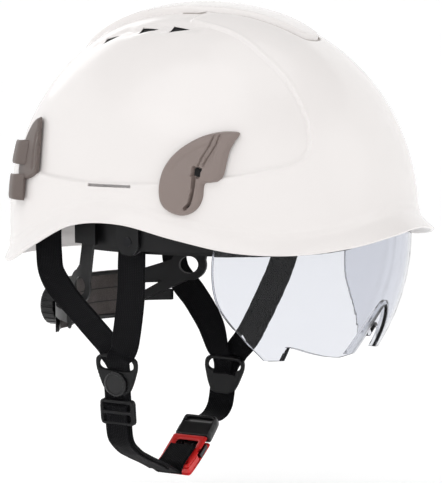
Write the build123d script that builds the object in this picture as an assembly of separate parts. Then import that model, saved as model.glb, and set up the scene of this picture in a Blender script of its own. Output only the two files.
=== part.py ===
from build123d import *
import math
import os

# Hard hat with a retractable visor, a textile cradle, a ratchet nape unit and a
# four-point chin strap.
#
# Millimetres.  +Z is up, the wearer looks along -Y and the wearer's right is -X.
# The origin is the middle of the headband opening, at the height of the rim beside
# the brow.

# ---------------------------------------------------------------- driving dimensions
# Outer shell
SHELL_MID_Y = 9.0          # widest station of the shell
SHELL_MID_Z = 10.0         # height where the dome wall stands upright
SHELL_HALF_WIDTH = 104.0
SHELL_FRONT = 142.7        # from the widest station to the brow
SHELL_REAR = 131.6         # from the widest station to the back
SHELL_RISE = 140.0         # from the upright height to the crown
SHELL_WALL = 3.0
PLAN_POWER = 2.3           # superellipse power of the plan outline
DOME_POWER = 2.1           # superellipse power of the dome's height curve
LIP_HEIGHT = 13.0          # flared lip above the rim
LIP_OUT = 4.0              # flare of the lip at the sides and back
PEAK_OUT = 8.0             # extra flare at the front, which makes the peak
PEAK_SPREAD = 42.0         # degrees of plan angle over which the peak fades
# Rim height every 15 degrees of plan angle, from the front round to the back
RIM_STEP = 15.0
RIM_HEIGHTS = [11.5, 8.3, 3.0, -0.5, 0.6, 7.7, 15.2, 12.8, -1.7, -14.9, -18.0, -18.0, -18.0]

# Crown ridge and vents
RIDGE_HALF_WIDTH = 17.0
RIDGE_PROUD = 3.0
RIDGE_FRONT_Y = -66.0
RIDGE_REAR_Y = 92.0
VENTS = [(-1.5, 14.0), (22.5, 13.0), (51.0, 12.0)]     # station and length of each pair
VENT_OUT_X = 45.0
VENT_WIDTH = 5.0

# Accessory slots for ear defenders, one in each side wall
SLOT_Y = 18.0
SLOT_LENGTH = 32.0
SLOT_HEIGHT = 5.0
SLOT_Z = 37.0


def rim_height(angle):
    """Height of the shell's rim at a plan angle in degrees: 0 is the front, 180 the back."""
    place = abs(angle) / RIM_STEP
    index = min(int(place), len(RIM_HEIGHTS) - 2)
    last = len(RIM_HEIGHTS) - 1
    before = RIM_HEIGHTS[abs(index - 1)]
    start = RIM_HEIGHTS[index]
    end = RIM_HEIGHTS[index + 1]
    after = RIM_HEIGHTS[min(index + 2, last)]
    part = place - index
    slope_start = (end - before) / 2.0
    slope_end = (after - start) / 2.0
    square = part * part
    cube = square * part
    return (
        (2.0 * cube - 3.0 * square + 1.0) * start
        + (cube - 2.0 * square + part) * slope_start
        + (3.0 * square - 2.0 * cube) * end
        + (cube - square) * slope_end
    )


def plan_point(angle, inset=0.0):
    """Plan position on the dome's widest outline, moved in by the inset."""
    sine = math.sin(math.radians(angle))
    cosine = math.cos(math.radians(angle))
    reach_y = (SHELL_FRONT if cosine > 0.0 else SHELL_REAR) - inset
    reach_x = SHELL_HALF_WIDTH - inset
    norm = (abs(sine) ** PLAN_POWER + abs(cosine) ** PLAN_POWER) ** (1.0 / PLAN_POWER)
    return -reach_x * sine / norm, -reach_y * cosine / norm


def dome_scale(height, inset=0.0):
    """How far the plan outline has drawn in at this height."""
    rise = max(height - SHELL_MID_Z, 0.0) / (SHELL_RISE - inset)
    return max(1.0 - rise ** DOME_POWER, 0.0) ** (1.0 / DOME_POWER)


def dome_point(angle, height, inset=0.0, out=0.0):
    """Point of the dome at a plan angle and height; out moves it outwards in plan."""
    x, y = plan_point(angle, inset)
    scale = dome_scale(height, inset)
    length = math.hypot(x, y)
    grow = scale + out / length
    return Vector(x * grow, SHELL_MID_Y + y * grow, height)


def lip_flare(angle):
    """How far the lip's edge stands out from the dome."""
    turn = (angle + 180.0) % 360.0 - 180.0
    return LIP_OUT + PEAK_OUT * math.exp(-((turn / PEAK_SPREAD) ** 2))


RING_ANGLES = [index * 10.0 for index in range(36)]


def ring(make_point):
    """Closed smooth wire through one point for each plan angle."""
    return Wire([Edge.make_spline([make_point(a) for a in RING_ANGLES], periodic=True)])


def crease_height(angle):
    turn = (angle + 180.0) % 360.0 - 180.0
    return rim_height(turn) + LIP_HEIGHT


def dome_rings(inset):
    """Rings of the dome from just under the crown down to the crease above the lip."""
    rings = []
    crown = SHELL_MID_Z + SHELL_RISE - inset
    for lift in (10.0, 20.0, 32.0, 44.0, 56.0, 68.0, 79.0, 90.0):
        share = math.cos(math.radians(lift))

        def at(angle, share=share):
            low = crease_height(angle)
            return dome_point(angle, low + (crown - low) * share, inset)

        rings.append(ring(at))
    return crown, rings


def lip_rings(inset):
    """Rings from the crease down to the rim, flaring outwards."""
    rings = []
    for drop in (0.0, 0.35, 0.7, 1.0):

        def at(angle, drop=drop):
            height = crease_height(angle) - LIP_HEIGHT * drop
            return dome_point(angle, height, inset, lip_flare(angle) * drop ** 1.6)

        rings.append(ring(at))
    return rings


def skin(inset):
    """Faces of the dome and lip, and the wire of the rim."""
    crown, rings = dome_rings(inset)
    lip = lip_rings(inset)
    dome = Shell.make_loft([Vertex(0, SHELL_MID_Y, crown)] + rings)
    skirt = Shell.make_loft(lip)
    return dome.faces() + skirt.faces(), lip[-1]


def closed_dome(inset):
    """Solid of the dome above the crease, closed underneath, for trimming other pieces."""
    crown, rings = dome_rings(inset)
    dome = Shell.make_loft([Vertex(0, SHELL_MID_Y, crown)] + rings)
    base = Shell.make_loft([rings[-1], Vertex(0, SHELL_MID_Y, -5.0)], ruled=True)
    return Solid(Shell(dome.faces() + base.faces()))


# ---------------------------------------------------------------- drawing helpers
SIDE = Plane(origin=(0, 0, 0), x_dir=(0, 1, 0), z_dir=(1, 0, 0))      # outline in (Y, Z)
FRONT = Plane(origin=(0, 0, 0), x_dir=(1, 0, 0), z_dir=(0, -1, 0))    # outline in (X, Z)
TOP = Plane.XY                                                        # outline in (X, Y)


def prism(edges, plane, start, end):
    """Solid between two offsets of a plane, with the outline drawn on it."""
    face = plane.offset(start) * make_face(edges)
    return extrude(face, amount=end - start, dir=plane.z_dir)


def polygon(points):
    return Polyline(*points, close=True)


def block(low, high):
    """Box between two corners."""
    size = [b - a for a, b in zip(low, high)]
    middle = [(a + b) / 2.0 for a, b in zip(low, high)]
    return Pos(*middle) * Box(*size)


def rod(start, direction, radius, length):
    """Cylinder from a start point along a direction."""
    plane = Plane(origin=start, z_dir=direction)
    return extrude(plane * Circle(radius), amount=length)


def mirror_x(shape):
    return mirror(shape, Plane.YZ)


def webbing(points, across, width, thick):
    """Flat strap through the points, its width along `across` as nearly as it can be."""
    points = [Vector(*p) for p in points]
    across = Vector(*across)
    last = len(points) - 1
    sections = []
    for index, point in enumerate(points):
        along = (points[min(index + 1, last)] - points[max(index - 1, 0)]).normalized()
        wide = (across - along * across.dot(along)).normalized()
        deep = wide.cross(along)
        corners = []
        for side_w, side_d in ((1, 1), (-1, 1), (-1, -1), (1, -1)):
            corners.append(point + wide * (side_w * width / 2) + deep * (side_d * thick / 2))
        sections.append(Wire.make_polygon(corners, close=True))
    return Solid.make_loft(sections, ruled=True)


parts = {}


# ---------------------------------------------------------------- shell
PIVOT_Y = 7.0              # visor pivot axis, parallel to X
PIVOT_Z = 4.0
BRACKET_FACE_X = 98.5      # where the pivot brackets bear on the shell's bosses
BRACKET_SCREW_Z = 25.0
BRACKET_SCREW_R = 1.5
BOSS_R = 6.0


def crown_line(inset, start, end):
    """Points along the top of the dome, over the middle of the hat."""
    points = []
    for index in range(13):
        y = start + (end - start) * index / 12.0
        reach = (SHELL_FRONT if y < SHELL_MID_Y else SHELL_REAR) - inset
        share = abs(y - SHELL_MID_Y) / reach
        rise = (1.0 - share ** DOME_POWER) ** (1.0 / DOME_POWER)
        points.append((y, SHELL_MID_Z + (SHELL_RISE - inset) * rise))
    return points


def make_shell():
    outer_faces, outer_rim = skin(0.0)
    inner_faces, inner_rim = skin(SHELL_WALL)
    rim = Face.make_surface_from_curves(outer_rim.edges()[0], inner_rim.edges()[0])
    shell = Solid(Shell(outer_faces + inner_faces + [rim]))
    over = crown_line(-RIDGE_PROUD, RIDGE_FRONT_Y, RIDGE_REAR_Y)
    under = crown_line(SHELL_WALL - 0.5, RIDGE_FRONT_Y, RIDGE_REAR_Y)
    ridge_edges = [Spline(*over), Line(over[-1], under[-1]), Spline(*under), Line(under[0], over[0])]
    shell += prism(ridge_edges, SIDE, -RIDGE_HALF_WIDTH, RIDGE_HALF_WIDTH)
    for side in (-1, 1):
        for front, length in VENTS:
            x = side * VENT_OUT_X
            corners = [
                (x, front - 6.0),
                (x - side * VENT_WIDTH / 2.0, front + length - 6.0),
                (x + side * VENT_WIDTH, front + length - 6.0),
            ]
            shell -= prism(polygon(corners), TOP, 90.0, 170.0)
        low = (min(side * 88.0, side * 115.0), SLOT_Y - SLOT_LENGTH / 2, SLOT_Z - SLOT_HEIGHT / 2)
        high = (max(side * 88.0, side * 115.0), SLOT_Y + SLOT_LENGTH / 2, SLOT_Z + SLOT_HEIGHT / 2)
        shell -= block(low, high)
        start = (side * BRACKET_FACE_X, PIVOT_Y, BRACKET_SCREW_Z)
        boss = rod(start, (side, 0, 0), BOSS_R, 3.6)
        shell += boss
        shell -= rod(start, (side, 0, 0), BRACKET_SCREW_R + 0.05, 3.4)
    return shell


parts["shell"] = make_shell()

# ---------------------------------------------------------------- lamp clips
CLIP_THICK = 4.0
CLIP_GAP = 0.1
FRONT_CLIP = [                      # outline in (Y, Z), from the tip round the front
    (-64.0, 72.4), (-50.0, 72.6), (-35.0, 66.5), (-24.0, 56.5), (-18.8, 43.0),
    (-20.0, 30.5), (-27.3, 23.8), (-36.0, 22.6), (-44.5, 28.0), (-47.3, 41.5),
]
FRONT_CLIP_EDGE = [(-56.0, 43.2), (-58.8, 50.0), (-60.0, 62.0)]
REAR_CLIP = [                       # outline in (Y, Z)
    (86.0, 78.0), (100.0, 73.0), (110.0, 62.0), (108.0, 44.0), (100.0, 38.0), (90.0, 38.0),
    (78.0, 44.0),
]
REAR_HOOKS = [(25.0, 43.0), (47.5, 64.5)]       # lowest and highest Z of each hook
HOOK_STAND = 6.5           # hooks' inner face from the shell
HOOK_THICK = 3.0
CLIP_SLIT = [(-52.0, 70.0), (-45.0, 52.0), (-41.0, 38.0), (-39.0, 29.0)]
CLIP_SLIT_WIDTH = 2.6


def clip_layer(outer_dome, inner_dome, outline, low_x, high_x):
    plate = prism(outline, SIDE, low_x, high_x)
    return (plate & outer_dome) - inner_dome


def make_clips():
    outer_dome = closed_dome(-CLIP_THICK)
    inner_dome = closed_dome(-CLIP_GAP)
    front_edges = [
        Spline(*FRONT_CLIP),
        Line(FRONT_CLIP[-1], FRONT_CLIP_EDGE[0]),
        Spline(*(FRONT_CLIP_EDGE + [FRONT_CLIP[0]])),
    ]
    front = clip_layer(outer_dome, inner_dome, front_edges, -120.0, -70.0)
    slit = webbing([(-100.0, y, z) for y, z in CLIP_SLIT], (1, 0, 0), 24.0, CLIP_SLIT_WIDTH)
    front -= slit & closed_dome(-CLIP_THICK - 1.0) - closed_dome(-1.4)
    rear = clip_layer(outer_dome, inner_dome, polygon(REAR_CLIP), -120.0, -50.0)
    far = closed_dome(-HOOK_STAND - HOOK_THICK)
    near = closed_dome(-HOOK_STAND)
    seat = closed_dome(-CLIP_THICK + 0.2)
    for low, high in REAR_HOOKS:
        hook = (block((-110.0, 90.0, low), (-50.0, 112.0, high)) & far) - near
        stem = (block((-110.0, 86.0, low), (-50.0, 92.0, high)) & far) - seat
        rear += hook + stem
    parts["lamp_clip_front_right"] = front
    parts["lamp_clip_front_left"] = mirror_x(front)
    parts["lamp_clip_rear_right"] = rear
    parts["lamp_clip_rear_left"] = mirror_x(rear)


make_clips()

# ---------------------------------------------------------------- visor
LENS_HALF_WIDTH = 98.0     # where the lens surface would close on the pivot axis
LENS_RADIUS = 136.5        # from the pivot axis to the lens at the nose
LENS_POWER = 2.3
LENS_WALL = 2.0
LENS_TOP_Z = 12.0
LENS_REAR = [(-54.0, 12.0), (-50.5, 0.0), (-49.2, -19.0), (-51.0, -32.0), (-62.0, -52.0),
             (-72.0, -70.0)]
NOTCH = [(-15.0, -67.5), (-12.5, -58.0), (-6.5, -44.0), (0.0, -37.5), (6.5, -44.0),
         (12.5, -58.0), (15.0, -67.5)]
LENS_LOWER = [(-28.0, -69.0), (-44.0, -65.8), (-57.0, -61.0)]
TAB = [(-61.5, -59.5), (-60.0, -68.5), (-66.0, -68.5), (-76.0, -58.0), (-80.0, -50.0)]
TRIM_RADIUS = 2.2
ARM_WALL = 2.5
ARM_GAP = 0.1
ARM_HALF_HEIGHT = 6.0
ARM_EYE_R = 9.0
PIN_R = 3.0
PIN_CLEARANCE = 0.05
PIVOT_AXIS = Axis((0, PIVOT_Y, PIVOT_Z), (1, 0, 0))
PIVOT_PLANE = Plane(origin=(0, PIVOT_Y, PIVOT_Z), x_dir=(1, 0, 0), z_dir=(0, 0, 1))


def lens_radius(x, inset):
    """Distance from the pivot axis to the lens surface at this X."""
    share = min(abs(x) / (LENS_HALF_WIDTH - inset), 1.0)
    return (LENS_RADIUS - inset) * (1.0 - share ** LENS_POWER) ** (1.0 / LENS_POWER)


def lens_x(radius, inset):
    """Half width of the lens surface at this distance from the pivot axis."""
    share = radius / (LENS_RADIUS - inset)
    return (LENS_HALF_WIDTH - inset) * (1.0 - share ** LENS_POWER) ** (1.0 / LENS_POWER)


def lens_curve(inset, reach):
    """Points of the lens profile from one side over the nose to the other."""
    points = []
    for index in range(-10, 11):
        x = reach * math.sin(math.radians(9.0 * index))
        points.append((x, -lens_radius(x, inset)))
    return points


def lens_ring(outer_inset, inner_inset, reach):
    """Full turn of the lens profile between two depths."""
    outer = lens_curve(outer_inset, reach)
    inner = lens_curve(inner_inset, reach)
    edges = [
        Spline(*outer),
        Line(outer[-1], inner[-1]),
        Spline(*inner),
        Line(inner[0], outer[0]),
    ]
    return revolve(PIVOT_PLANE * make_face(edges), axis=PIVOT_AXIS)


def mirrored(points):
    return [(-x, z) for x, z in reversed(points)]


def lens_front_outline():
    low = [(x, z) for x, z in NOTCH]
    right = LENS_LOWER + TAB + [(-96.0, -34.0), (-96.0, LENS_TOP_Z)]
    left = mirrored(right)
    return [
        Spline(*low),
        Line(low[0], right[0]),
        Spline(*right[:3]),
        Polyline(*right[2:]),
        Line(right[-1], left[0]),
        Polyline(*left[:-2]),
        Spline(*left[-3:]),
        Line(left[-1], low[-1]),
    ]


def make_visor():
    front = prism(lens_front_outline(), FRONT, 30.0, 150.0)
    side_edges = [
        Spline(*LENS_REAR),
        Polyline(LENS_REAR[-1], (-80.0, -90.0), (-150.0, -90.0), (-150.0, LENS_TOP_Z), LENS_REAR[0]),
    ]
    side = prism(side_edges, SIDE, -100.0, 100.0)
    lens = lens_ring(0.0, LENS_WALL, 92.5) & front & side
    trim_ring = lens_ring(LENS_WALL + 0.05, LENS_WALL + 2.4, 40.0)
    below = [(x, z) for x, z in NOTCH]
    wide = [(x * 1.32, z + TRIM_RADIUS * 1.4) for x, z in NOTCH]
    wide[0] = (wide[0][0], NOTCH[0][1])
    wide[-1] = (wide[-1][0], NOTCH[-1][1])
    trim_edges = [Spline(*below), Line(below[-1], wide[-1]), Spline(*wide), Line(wide[0], below[0])]
    trim = trim_ring & prism(trim_edges, FRONT, 90.0, 150.0)

    outer = []
    inner = []
    eye_hole = PIN_R + PIN_CLEARANCE
    for index in range(9):
        radius = eye_hole + (82.0 - eye_hole) * index / 8.0
        outer.append((lens_x(radius, LENS_WALL + ARM_GAP), -radius))
        inner.append((lens_x(radius, LENS_WALL + ARM_GAP + ARM_WALL), -radius))
    edges = [
        Spline(*outer),
        Line(outer[-1], inner[-1]),
        Spline(*inner),
        Line(inner[0], outer[0]),
    ]
    cap = revolve(PIVOT_PLANE * make_face(edges), axis=PIVOT_AXIS)
    bar_edges = polygon([
        (PIVOT_Y, PIVOT_Z - ARM_HALF_HEIGHT), (-70.0, 0.0), (-70.0, 10.5),
        (PIVOT_Y, PIVOT_Z + ARM_HALF_HEIGHT + 1.0),
    ])
    bar = prism(bar_edges, SIDE, 60.0, 100.0)
    eye = rod((60.0, PIVOT_Y, PIVOT_Z), (1, 0, 0), ARM_EYE_R, 40.0)
    arm = (cap & bar) + (cap & eye)
    rivets = []
    for y in (-56.5, -62.5):
        hole = rod((70.0, y, 5.5), (1, 0, 0), 1.5, 30.0)
        lens -= hole
        lens -= mirror_x(hole)
        arm -= hole
        shank = lens_ring(-0.4, LENS_WALL + ARM_GAP + ARM_WALL + 0.4, 95.0)
        rivets.append(shank & rod((70.0, y, 5.5), (1, 0, 0), 1.45, 30.0))
    parts["visor_lens"] = lens
    parts["visor_nose_trim"] = trim
    parts["visor_arm_left"] = arm
    parts["visor_arm_right"] = mirror_x(arm)
    rivets += [mirror_x(r) for r in rivets]
    parts["visor_rivets"] = Compound(children=[s for r in rivets for s in r.solids()])


def make_pivots():
    washer_in = LENS_HALF_WIDTH - LENS_WALL - ARM_GAP + 0.05
    bracket_in = washer_in + 0.55
    plate = prism(
        polygon([
            (PIVOT_Y - 8.0, PIVOT_Z - 3.0), (PIVOT_Y - 4.0, PIVOT_Z - 8.0), (PIVOT_Y + 4.0, PIVOT_Z - 8.0),
            (PIVOT_Y + 8.0, PIVOT_Z - 3.0), (PIVOT_Y + 8.0, BRACKET_SCREW_Z + 3.0),
            (PIVOT_Y + 4.0, BRACKET_SCREW_Z + 7.0), (PIVOT_Y - 4.0, BRACKET_SCREW_Z + 7.0),
            (PIVOT_Y - 8.0, BRACKET_SCREW_Z + 3.0),
        ]),
        SIDE, bracket_in, BRACKET_FACE_X,
    )
    plate -= rod((90.0, PIVOT_Y, PIVOT_Z), (1, 0, 0), PIN_R, 20.0)
    plate -= rod((90.0, PIVOT_Y, BRACKET_SCREW_Z), (1, 0, 0), BRACKET_SCREW_R + 0.05, 20.0)
    washer = rod((washer_in, PIVOT_Y, PIVOT_Z), (1, 0, 0), 6.5, 0.5)
    washer -= rod((90.0, PIVOT_Y, PIVOT_Z), (1, 0, 0), PIN_R + PIN_CLEARANCE, 20.0)
    head_x = LENS_HALF_WIDTH - LENS_WALL - ARM_GAP - ARM_WALL - 0.2
    pin = rod((head_x - 2.0, PIVOT_Y, PIVOT_Z), (1, 0, 0), 5.0, 2.0)
    pin += rod((head_x, PIVOT_Y, PIVOT_Z), (1, 0, 0), PIN_R, BRACKET_FACE_X + 0.4 - head_x)
    screw = rod((bracket_in - 1.6, PIVOT_Y, BRACKET_SCREW_Z), (1, 0, 0), 3.0, 1.6)
    screw += rod((bracket_in, PIVOT_Y, BRACKET_SCREW_Z), (1, 0, 0), BRACKET_SCREW_R, 5.0)
    screw -= block((bracket_in - 1.6, PIVOT_Y - 2.2, BRACKET_SCREW_Z - 0.4),
                   (bracket_in - 0.8, PIVOT_Y + 2.2, BRACKET_SCREW_Z + 0.4))
    for name, solid in (("visor_bracket", plate), ("visor_washer", washer),
                        ("visor_pivot_pin", pin), ("bracket_screw", screw)):
        parts[name + "_left"] = solid
        parts[name + "_right"] = mirror_x(solid)


make_visor()
make_pivots()

# ---------------------------------------------------------------- headband and pads
BAND_MID_Y = 8.0
BAND_HALF_X = 80.0         # inner face of the headband
BAND_HALF_Y = 100.0
BAND_WALL = 2.0
BAND_LOW_Z = -5.0
BAND_HIGH_Z = 24.0
BAND_REAR_Y = 46.0
PAD_THICK = 4.0
PAD_REAR_Y = -38.0


def band_x(y, out):
    """Half width of the headband oval at this Y."""
    share = (y - BAND_MID_Y) / (BAND_HALF_Y + out)
    return (BAND_HALF_X + out) * math.sqrt(1.0 - share * share)


def band_ring(out_low, out_high, low_z, high_z):
    """Oval ring between two distances from the headband's inner face."""
    outer = Ellipse(BAND_HALF_X + out_high, BAND_HALF_Y + out_high)
    inner = Ellipse(BAND_HALF_X + out_low, BAND_HALF_Y + out_low)
    sketch = Plane(origin=(0, BAND_MID_Y, low_z)) * (outer - inner)
    return extrude(sketch, amount=high_z - low_z)


ARM_FRONT_Y = 46.2
RING_Y = 62.0
RING_Z = -30.0
RING_OUT_R = 11.0
RING_HOLE_R = 6.0
NAPE_ARM_END_Y = 88.0


def make_headband():
    ring = band_ring(0.0, BAND_WALL, BAND_LOW_Z, BAND_HIGH_Z)
    parts["headband"] = ring & block((-100, -120, -20), (100, BAND_REAR_Y, 60))
    pad = band_ring(-PAD_THICK, -0.1, BAND_LOW_Z - 1.0, BAND_HIGH_Z + 2.0)
    parts["brow_sweat_pad"] = pad & block((-100, -120, -20), (100, PAD_REAR_Y, 60))

    wall = band_ring(0.0, BAND_WALL, -80.0, 60.0)
    strut = polygon([
        (ARM_FRONT_Y, 4.0), (ARM_FRONT_Y, 20.0), (54.0, 20.0), (62.0, -16.0), (72.0, -26.0),
        (NAPE_ARM_END_Y, -32.0), (NAPE_ARM_END_Y, -42.0), (70.0, -39.0), (60.0, -40.0),
        (52.0, -30.0),
    ])
    side = prism(strut, SIDE, 20.0, 100.0)
    side += prism(
        polygon([(64.0, -36.0), (74.0, -38.0), (NAPE_ARM_END_Y, -48.0), (NAPE_ARM_END_Y, -54.0),
                 (60.0, -39.5)]),
        SIDE, 20.0, 100.0,
    )
    side += rod((20.0, RING_Y, RING_Z), (1, 0, 0), RING_OUT_R, 80.0)
    side -= rod((20.0, RING_Y, RING_Z), (1, 0, 0), RING_HOLE_R, 80.0)
    arm = wall & side
    parts["side_arm_left"] = arm
    parts["side_arm_right"] = mirror_x(arm)


make_headband()

# ---------------------------------------------------------------- nape unit
NAPE_OUT = 3.0             # housing shell outside the headband oval
NAPE_LOW_Z = -66.0
NAPE_HIGH_Z = -36.0
WHEEL_Z = -54.0
WHEEL_R = 14.0
WHEEL_FACE_Y = 121.5
WHEEL_THICK = 11.0
PINION_R = 6.0
SPINDLE_R = 2.5
NAPE_WING_Y = 74.0
PINION_Y = 108.4
PINION_TEETH = 12
WHEEL_RIBS = 20


def make_nape():
    box = block((-80, NAPE_WING_Y, NAPE_LOW_Z), (80, 130, NAPE_HIGH_Z))
    housing = band_ring(NAPE_OUT, NAPE_OUT + 2.4, NAPE_LOW_Z, NAPE_HIGH_Z) & box
    housing -= block((-80, 50, -47.5), (80, 95, -42.5))
    housing -= block((-80, 50, -80), (80, 98, -55.0))
    nave = rod((0, 112.0, WHEEL_Z), (0, 1, 0), 9.0, WHEEL_FACE_Y - 0.5 - 112.0)
    housing += nave & block((-20, 112.5, -80), (20, 140, 0))
    housing -= rod((0, 100, WHEEL_Z), (0, 1, 0), SPINDLE_R + 0.05, 60)
    parts["nape_housing"] = housing
    pad = band_ring(-4.5, NAPE_OUT - 0.6, NAPE_LOW_Z + 2.0, NAPE_HIGH_Z + 4.0)
    pad &= block((-52, 96, -80), (52, 130, 0))
    pad -= rod((0, PINION_Y - 0.5, WHEEL_Z), (0, 1, 0), PINION_R + 1.2, 20)
    for side, z in ((-1, WHEEL_Z + PINION_R + 2.4), (1, WHEEL_Z - PINION_R - 2.4)):
        low_x = -13.0 if side < 0 else -7.0
        pad -= block((low_x - 0.3, PINION_Y - 0.2, z - 2.3), (low_x + 20.3, 140, z + 2.3))
        strip = block((low_x, PINION_Y, z - 2.0), (low_x + 20.0, PINION_Y + 1.0, z + 2.0))
        name = "rack_strip_right" if side < 0 else "rack_strip_left"
        parts[name] = strip
    parts["nape_pad"] = pad
    wheel = rod((0, WHEEL_FACE_Y, WHEEL_Z), (0, 1, 0), WHEEL_R, WHEEL_THICK)
    wheel = chamfer(wheel.edges().filter_by(GeomType.CIRCLE).group_by(Axis.Y)[-1], 1.5)
    for index in range(WHEEL_RIBS):
        turn = 2.0 * math.pi * index / WHEEL_RIBS
        centre = (WHEEL_R * math.sin(turn), WHEEL_FACE_Y - 1, WHEEL_Z + WHEEL_R * math.cos(turn))
        wheel -= rod(centre, (0, 1, 0), 0.9, WHEEL_THICK + 2)
    wheel -= rod((0, WHEEL_FACE_Y - 1, WHEEL_Z), (0, 1, 0), SPINDLE_R, 5.0)
    parts["ratchet_wheel"] = wheel
    spindle = rod((0, PINION_Y, WHEEL_Z), (0, 1, 0), SPINDLE_R, WHEEL_FACE_Y + 4.0 - PINION_Y)
    parts["ratchet_spindle"] = spindle
    root_r = PINION_R - 0.6
    pinion = rod((0, PINION_Y, WHEEL_Z), (0, 1, 0), root_r, 1.8)
    for index in range(PINION_TEETH):
        turn = 2.0 * math.pi * index / PINION_TEETH
        centre = (root_r * math.sin(turn), PINION_Y, WHEEL_Z + root_r * math.cos(turn))
        pinion += rod(centre, (0, 1, 0), 0.7, 1.8)
    pinion -= rod((0, 100, WHEEL_Z), (0, 1, 0), SPINDLE_R, 20)
    parts["ratchet_pinion"] = pinion
    cap_y = WHEEL_FACE_Y + WHEEL_THICK
    parts["ratchet_cap"] = rod((0, cap_y, WHEEL_Z), (0, 1, 0), 9.0, 1.5)


make_nape()

# ---------------------------------------------------------------- cradle
LUG_THICK = 2.4
LUG_WIDTH = 18.0
CRADLE_WIDTH = 15.0
CRADLE_THICK = 1.2
# Each pair of lugs: plan angle, top of its upright leg, height where it meets the shell,
# and the leg's gap from the headband
LUG_PLACES = [
    ("front", 74.0, 46.0, 58.0, 2.0),
    ("middle", 109.0, 22.0, 42.0, 3.8),
    ("rear", 155.0, None, 42.0, 0.0),
]
LUG_RISE = 24.0
LUG_GAP = 1.8              # between the lugs and the shell
CROWN_HEIGHTS = [106.0, 112.0, 120.5]


def lug_point(angle, height, gap):
    return dome_point(angle, height, SHELL_WALL + gap)


def arched_strap(start, end, crown, width, thick):
    """Strap that lies in the upright plane through two ends and arches up between them."""
    run = Vector(end.X - start.X, end.Y - start.Y, 0)
    along = run.normalized()
    rise = crown - (start.Z + end.Z) / 2.0
    line = []
    for index in range(25):
        share = index / 24.0
        lift = 1.0 - abs(2.0 * share - 1.0) ** 3
        line.append(Vector(run.length * share, start.Z + (end.Z - start.Z) * share + rise * lift, 0))
    upper = []
    lower = []
    for index, point in enumerate(line):
        step = line[min(index + 1, 24)] - line[max(index - 1, 0)]
        side = Vector(-step.Y, step.X, 0).normalized() * (thick / 2.0)
        upper.append(tuple(point + side))
        lower.append(tuple(point - side))
    plane = Plane(origin=(start.X, start.Y, 0), x_dir=along, z_dir=(along.Y, -along.X, 0))
    return prism(polygon(upper + lower[::-1]), plane, -width / 2.0, width / 2.0)


def make_cradle():
    ends = {}
    for name, angle, leg_top, low, leg_gap in LUG_PLACES:
        middle_gap = LUG_GAP + LUG_THICK / 2.0
        stations = []
        for step in range(4):
            stations.append(tuple(lug_point(angle, low + LUG_RISE * step / 3.0, middle_gap)))
        if leg_top is not None:
            y = stations[0][1]
            x = -(band_x(y, BAND_WALL) + leg_gap + LUG_THICK / 2.0)
            stations = [(x, y, BAND_LOW_Z + 4.0), (x, y, leg_top)] + stations
        across = Vector(*plan_point(angle + 5.0)) - Vector(*plan_point(angle - 5.0))
        lug = webbing(stations, tuple(across.normalized()), LUG_WIDTH, LUG_THICK)
        parts["harness_lug_" + name + "_right"] = lug
        parts["harness_lug_" + name + "_left"] = mirror_x(lug)
        strap_gap = LUG_GAP + LUG_THICK + 5.0
        ends[name] = lug_point(angle, low + 14.0, strap_gap)
    pairs = [
        ("cradle_strap_right", ends["front"], ends["rear"], -1.0, CROWN_HEIGHTS[0]),
        ("cradle_strap_left", ends["front"], ends["rear"], 1.0, CROWN_HEIGHTS[1]),
        ("cradle_strap_middle", ends["middle"], ends["middle"], 1.0, CROWN_HEIGHTS[2]),
    ]
    for name, first, second, side, crown in pairs:
        start = Vector(first.X * -side, first.Y, first.Z)
        end = Vector(second.X * side, second.Y, second.Z)
        parts[name] = arched_strap(start, end, crown, CRADLE_WIDTH, CRADLE_THICK)
    pad = Pos(0, 40, 91.0) * Box(64, 84, 3.0)
    pad = fillet(pad.edges().filter_by(Axis.Z), 18.0)
    parts["crown_pad"] = pad


make_cradle()

# ---------------------------------------------------------------- chin strap
STRAP_WIDTH = 20.0
STRAP_THICK = 1.6
SWING_X = -86.0            # axis about which the right strap swings, parallel to Y
SWING_Z = 0.0
HANGER_LOW_Z = 1.2
BUCKLE_Y = 33.0
BUCKLE_R = 180.0           # from the swing axis to the middle of the buckle
SOCKET_FROM = 27.5         # degrees from straight down to the closed end of the female half
SOCKET_TO = 37.5
BUCKLE_TO = 43.5
BUCKLE_WIDTH = 27.0
BUCKLE_THICK = 9.0
SOCKET_DEPTH = 7.4         # degrees
SOCKET_GAP = 4.4
SOCKET_WIDTH = 20.0
EAR_SLOT = 3.8
EAR_THICK = 3.0
EAR_SPAN = 27.6
DIVIDER_WIDTH = 32.0
DIVIDER_HEIGHT = 27.0
DIVIDER_THICK = 3.0
DIVIDER_CAP_R = 8.3
DIVIDER_CAP_DROP = 5.7
SLIDER_WIDTH = 25.6
SLIDER_HEIGHT = 17.0
SLIDER_DROP = 9.8          # from the top of the lower strap to the middle of the slider

# Stations of the webbing, chosen to lie as the strap hangs on a head
RIGHT_FRONT = [(-86.0, 11.5, -1.0), (-85.5, 12.0, -10.0), (-79.5, 16.5, -31.0), (-71.0, 25.0, -57.0),
               (-67.3, 29.5, -70.0)]
RIGHT_REAR = [(-76.0, 81.5, 3.0), (-76.0, 81.0, -8.0), (-75.7, 79.0, -22.0), (-74.8, 69.0, -36.0),
              (-69.5, 55.0, -53.0), (-64.3, 41.5, -69.3)]
LEFT_FRONT = [(86.0, -9.0, -1.0), (85.5, -7.5, -10.0), (81.5, -1.0, -35.0), (71.5, 14.0, -73.0),
              (67.6, 24.0, -88.2)]
LEFT_REAR = [(76.0, 81.5, 3.0), (77.0, 81.0, -12.0), (77.5, 77.5, -36.0), (73.0, 60.0, -53.0),
             (68.0, 45.0, -70.0), (64.9, 36.6, -86.8)]
RIGHT_DIVIDER_TOP = (-66.3, 36.0, -73.0)
RIGHT_DIVIDER_LOW = (-63.9, 36.5, -99.5)
LEFT_DIVIDER_TOP = (66.3, 31.5, -91.5)
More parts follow.
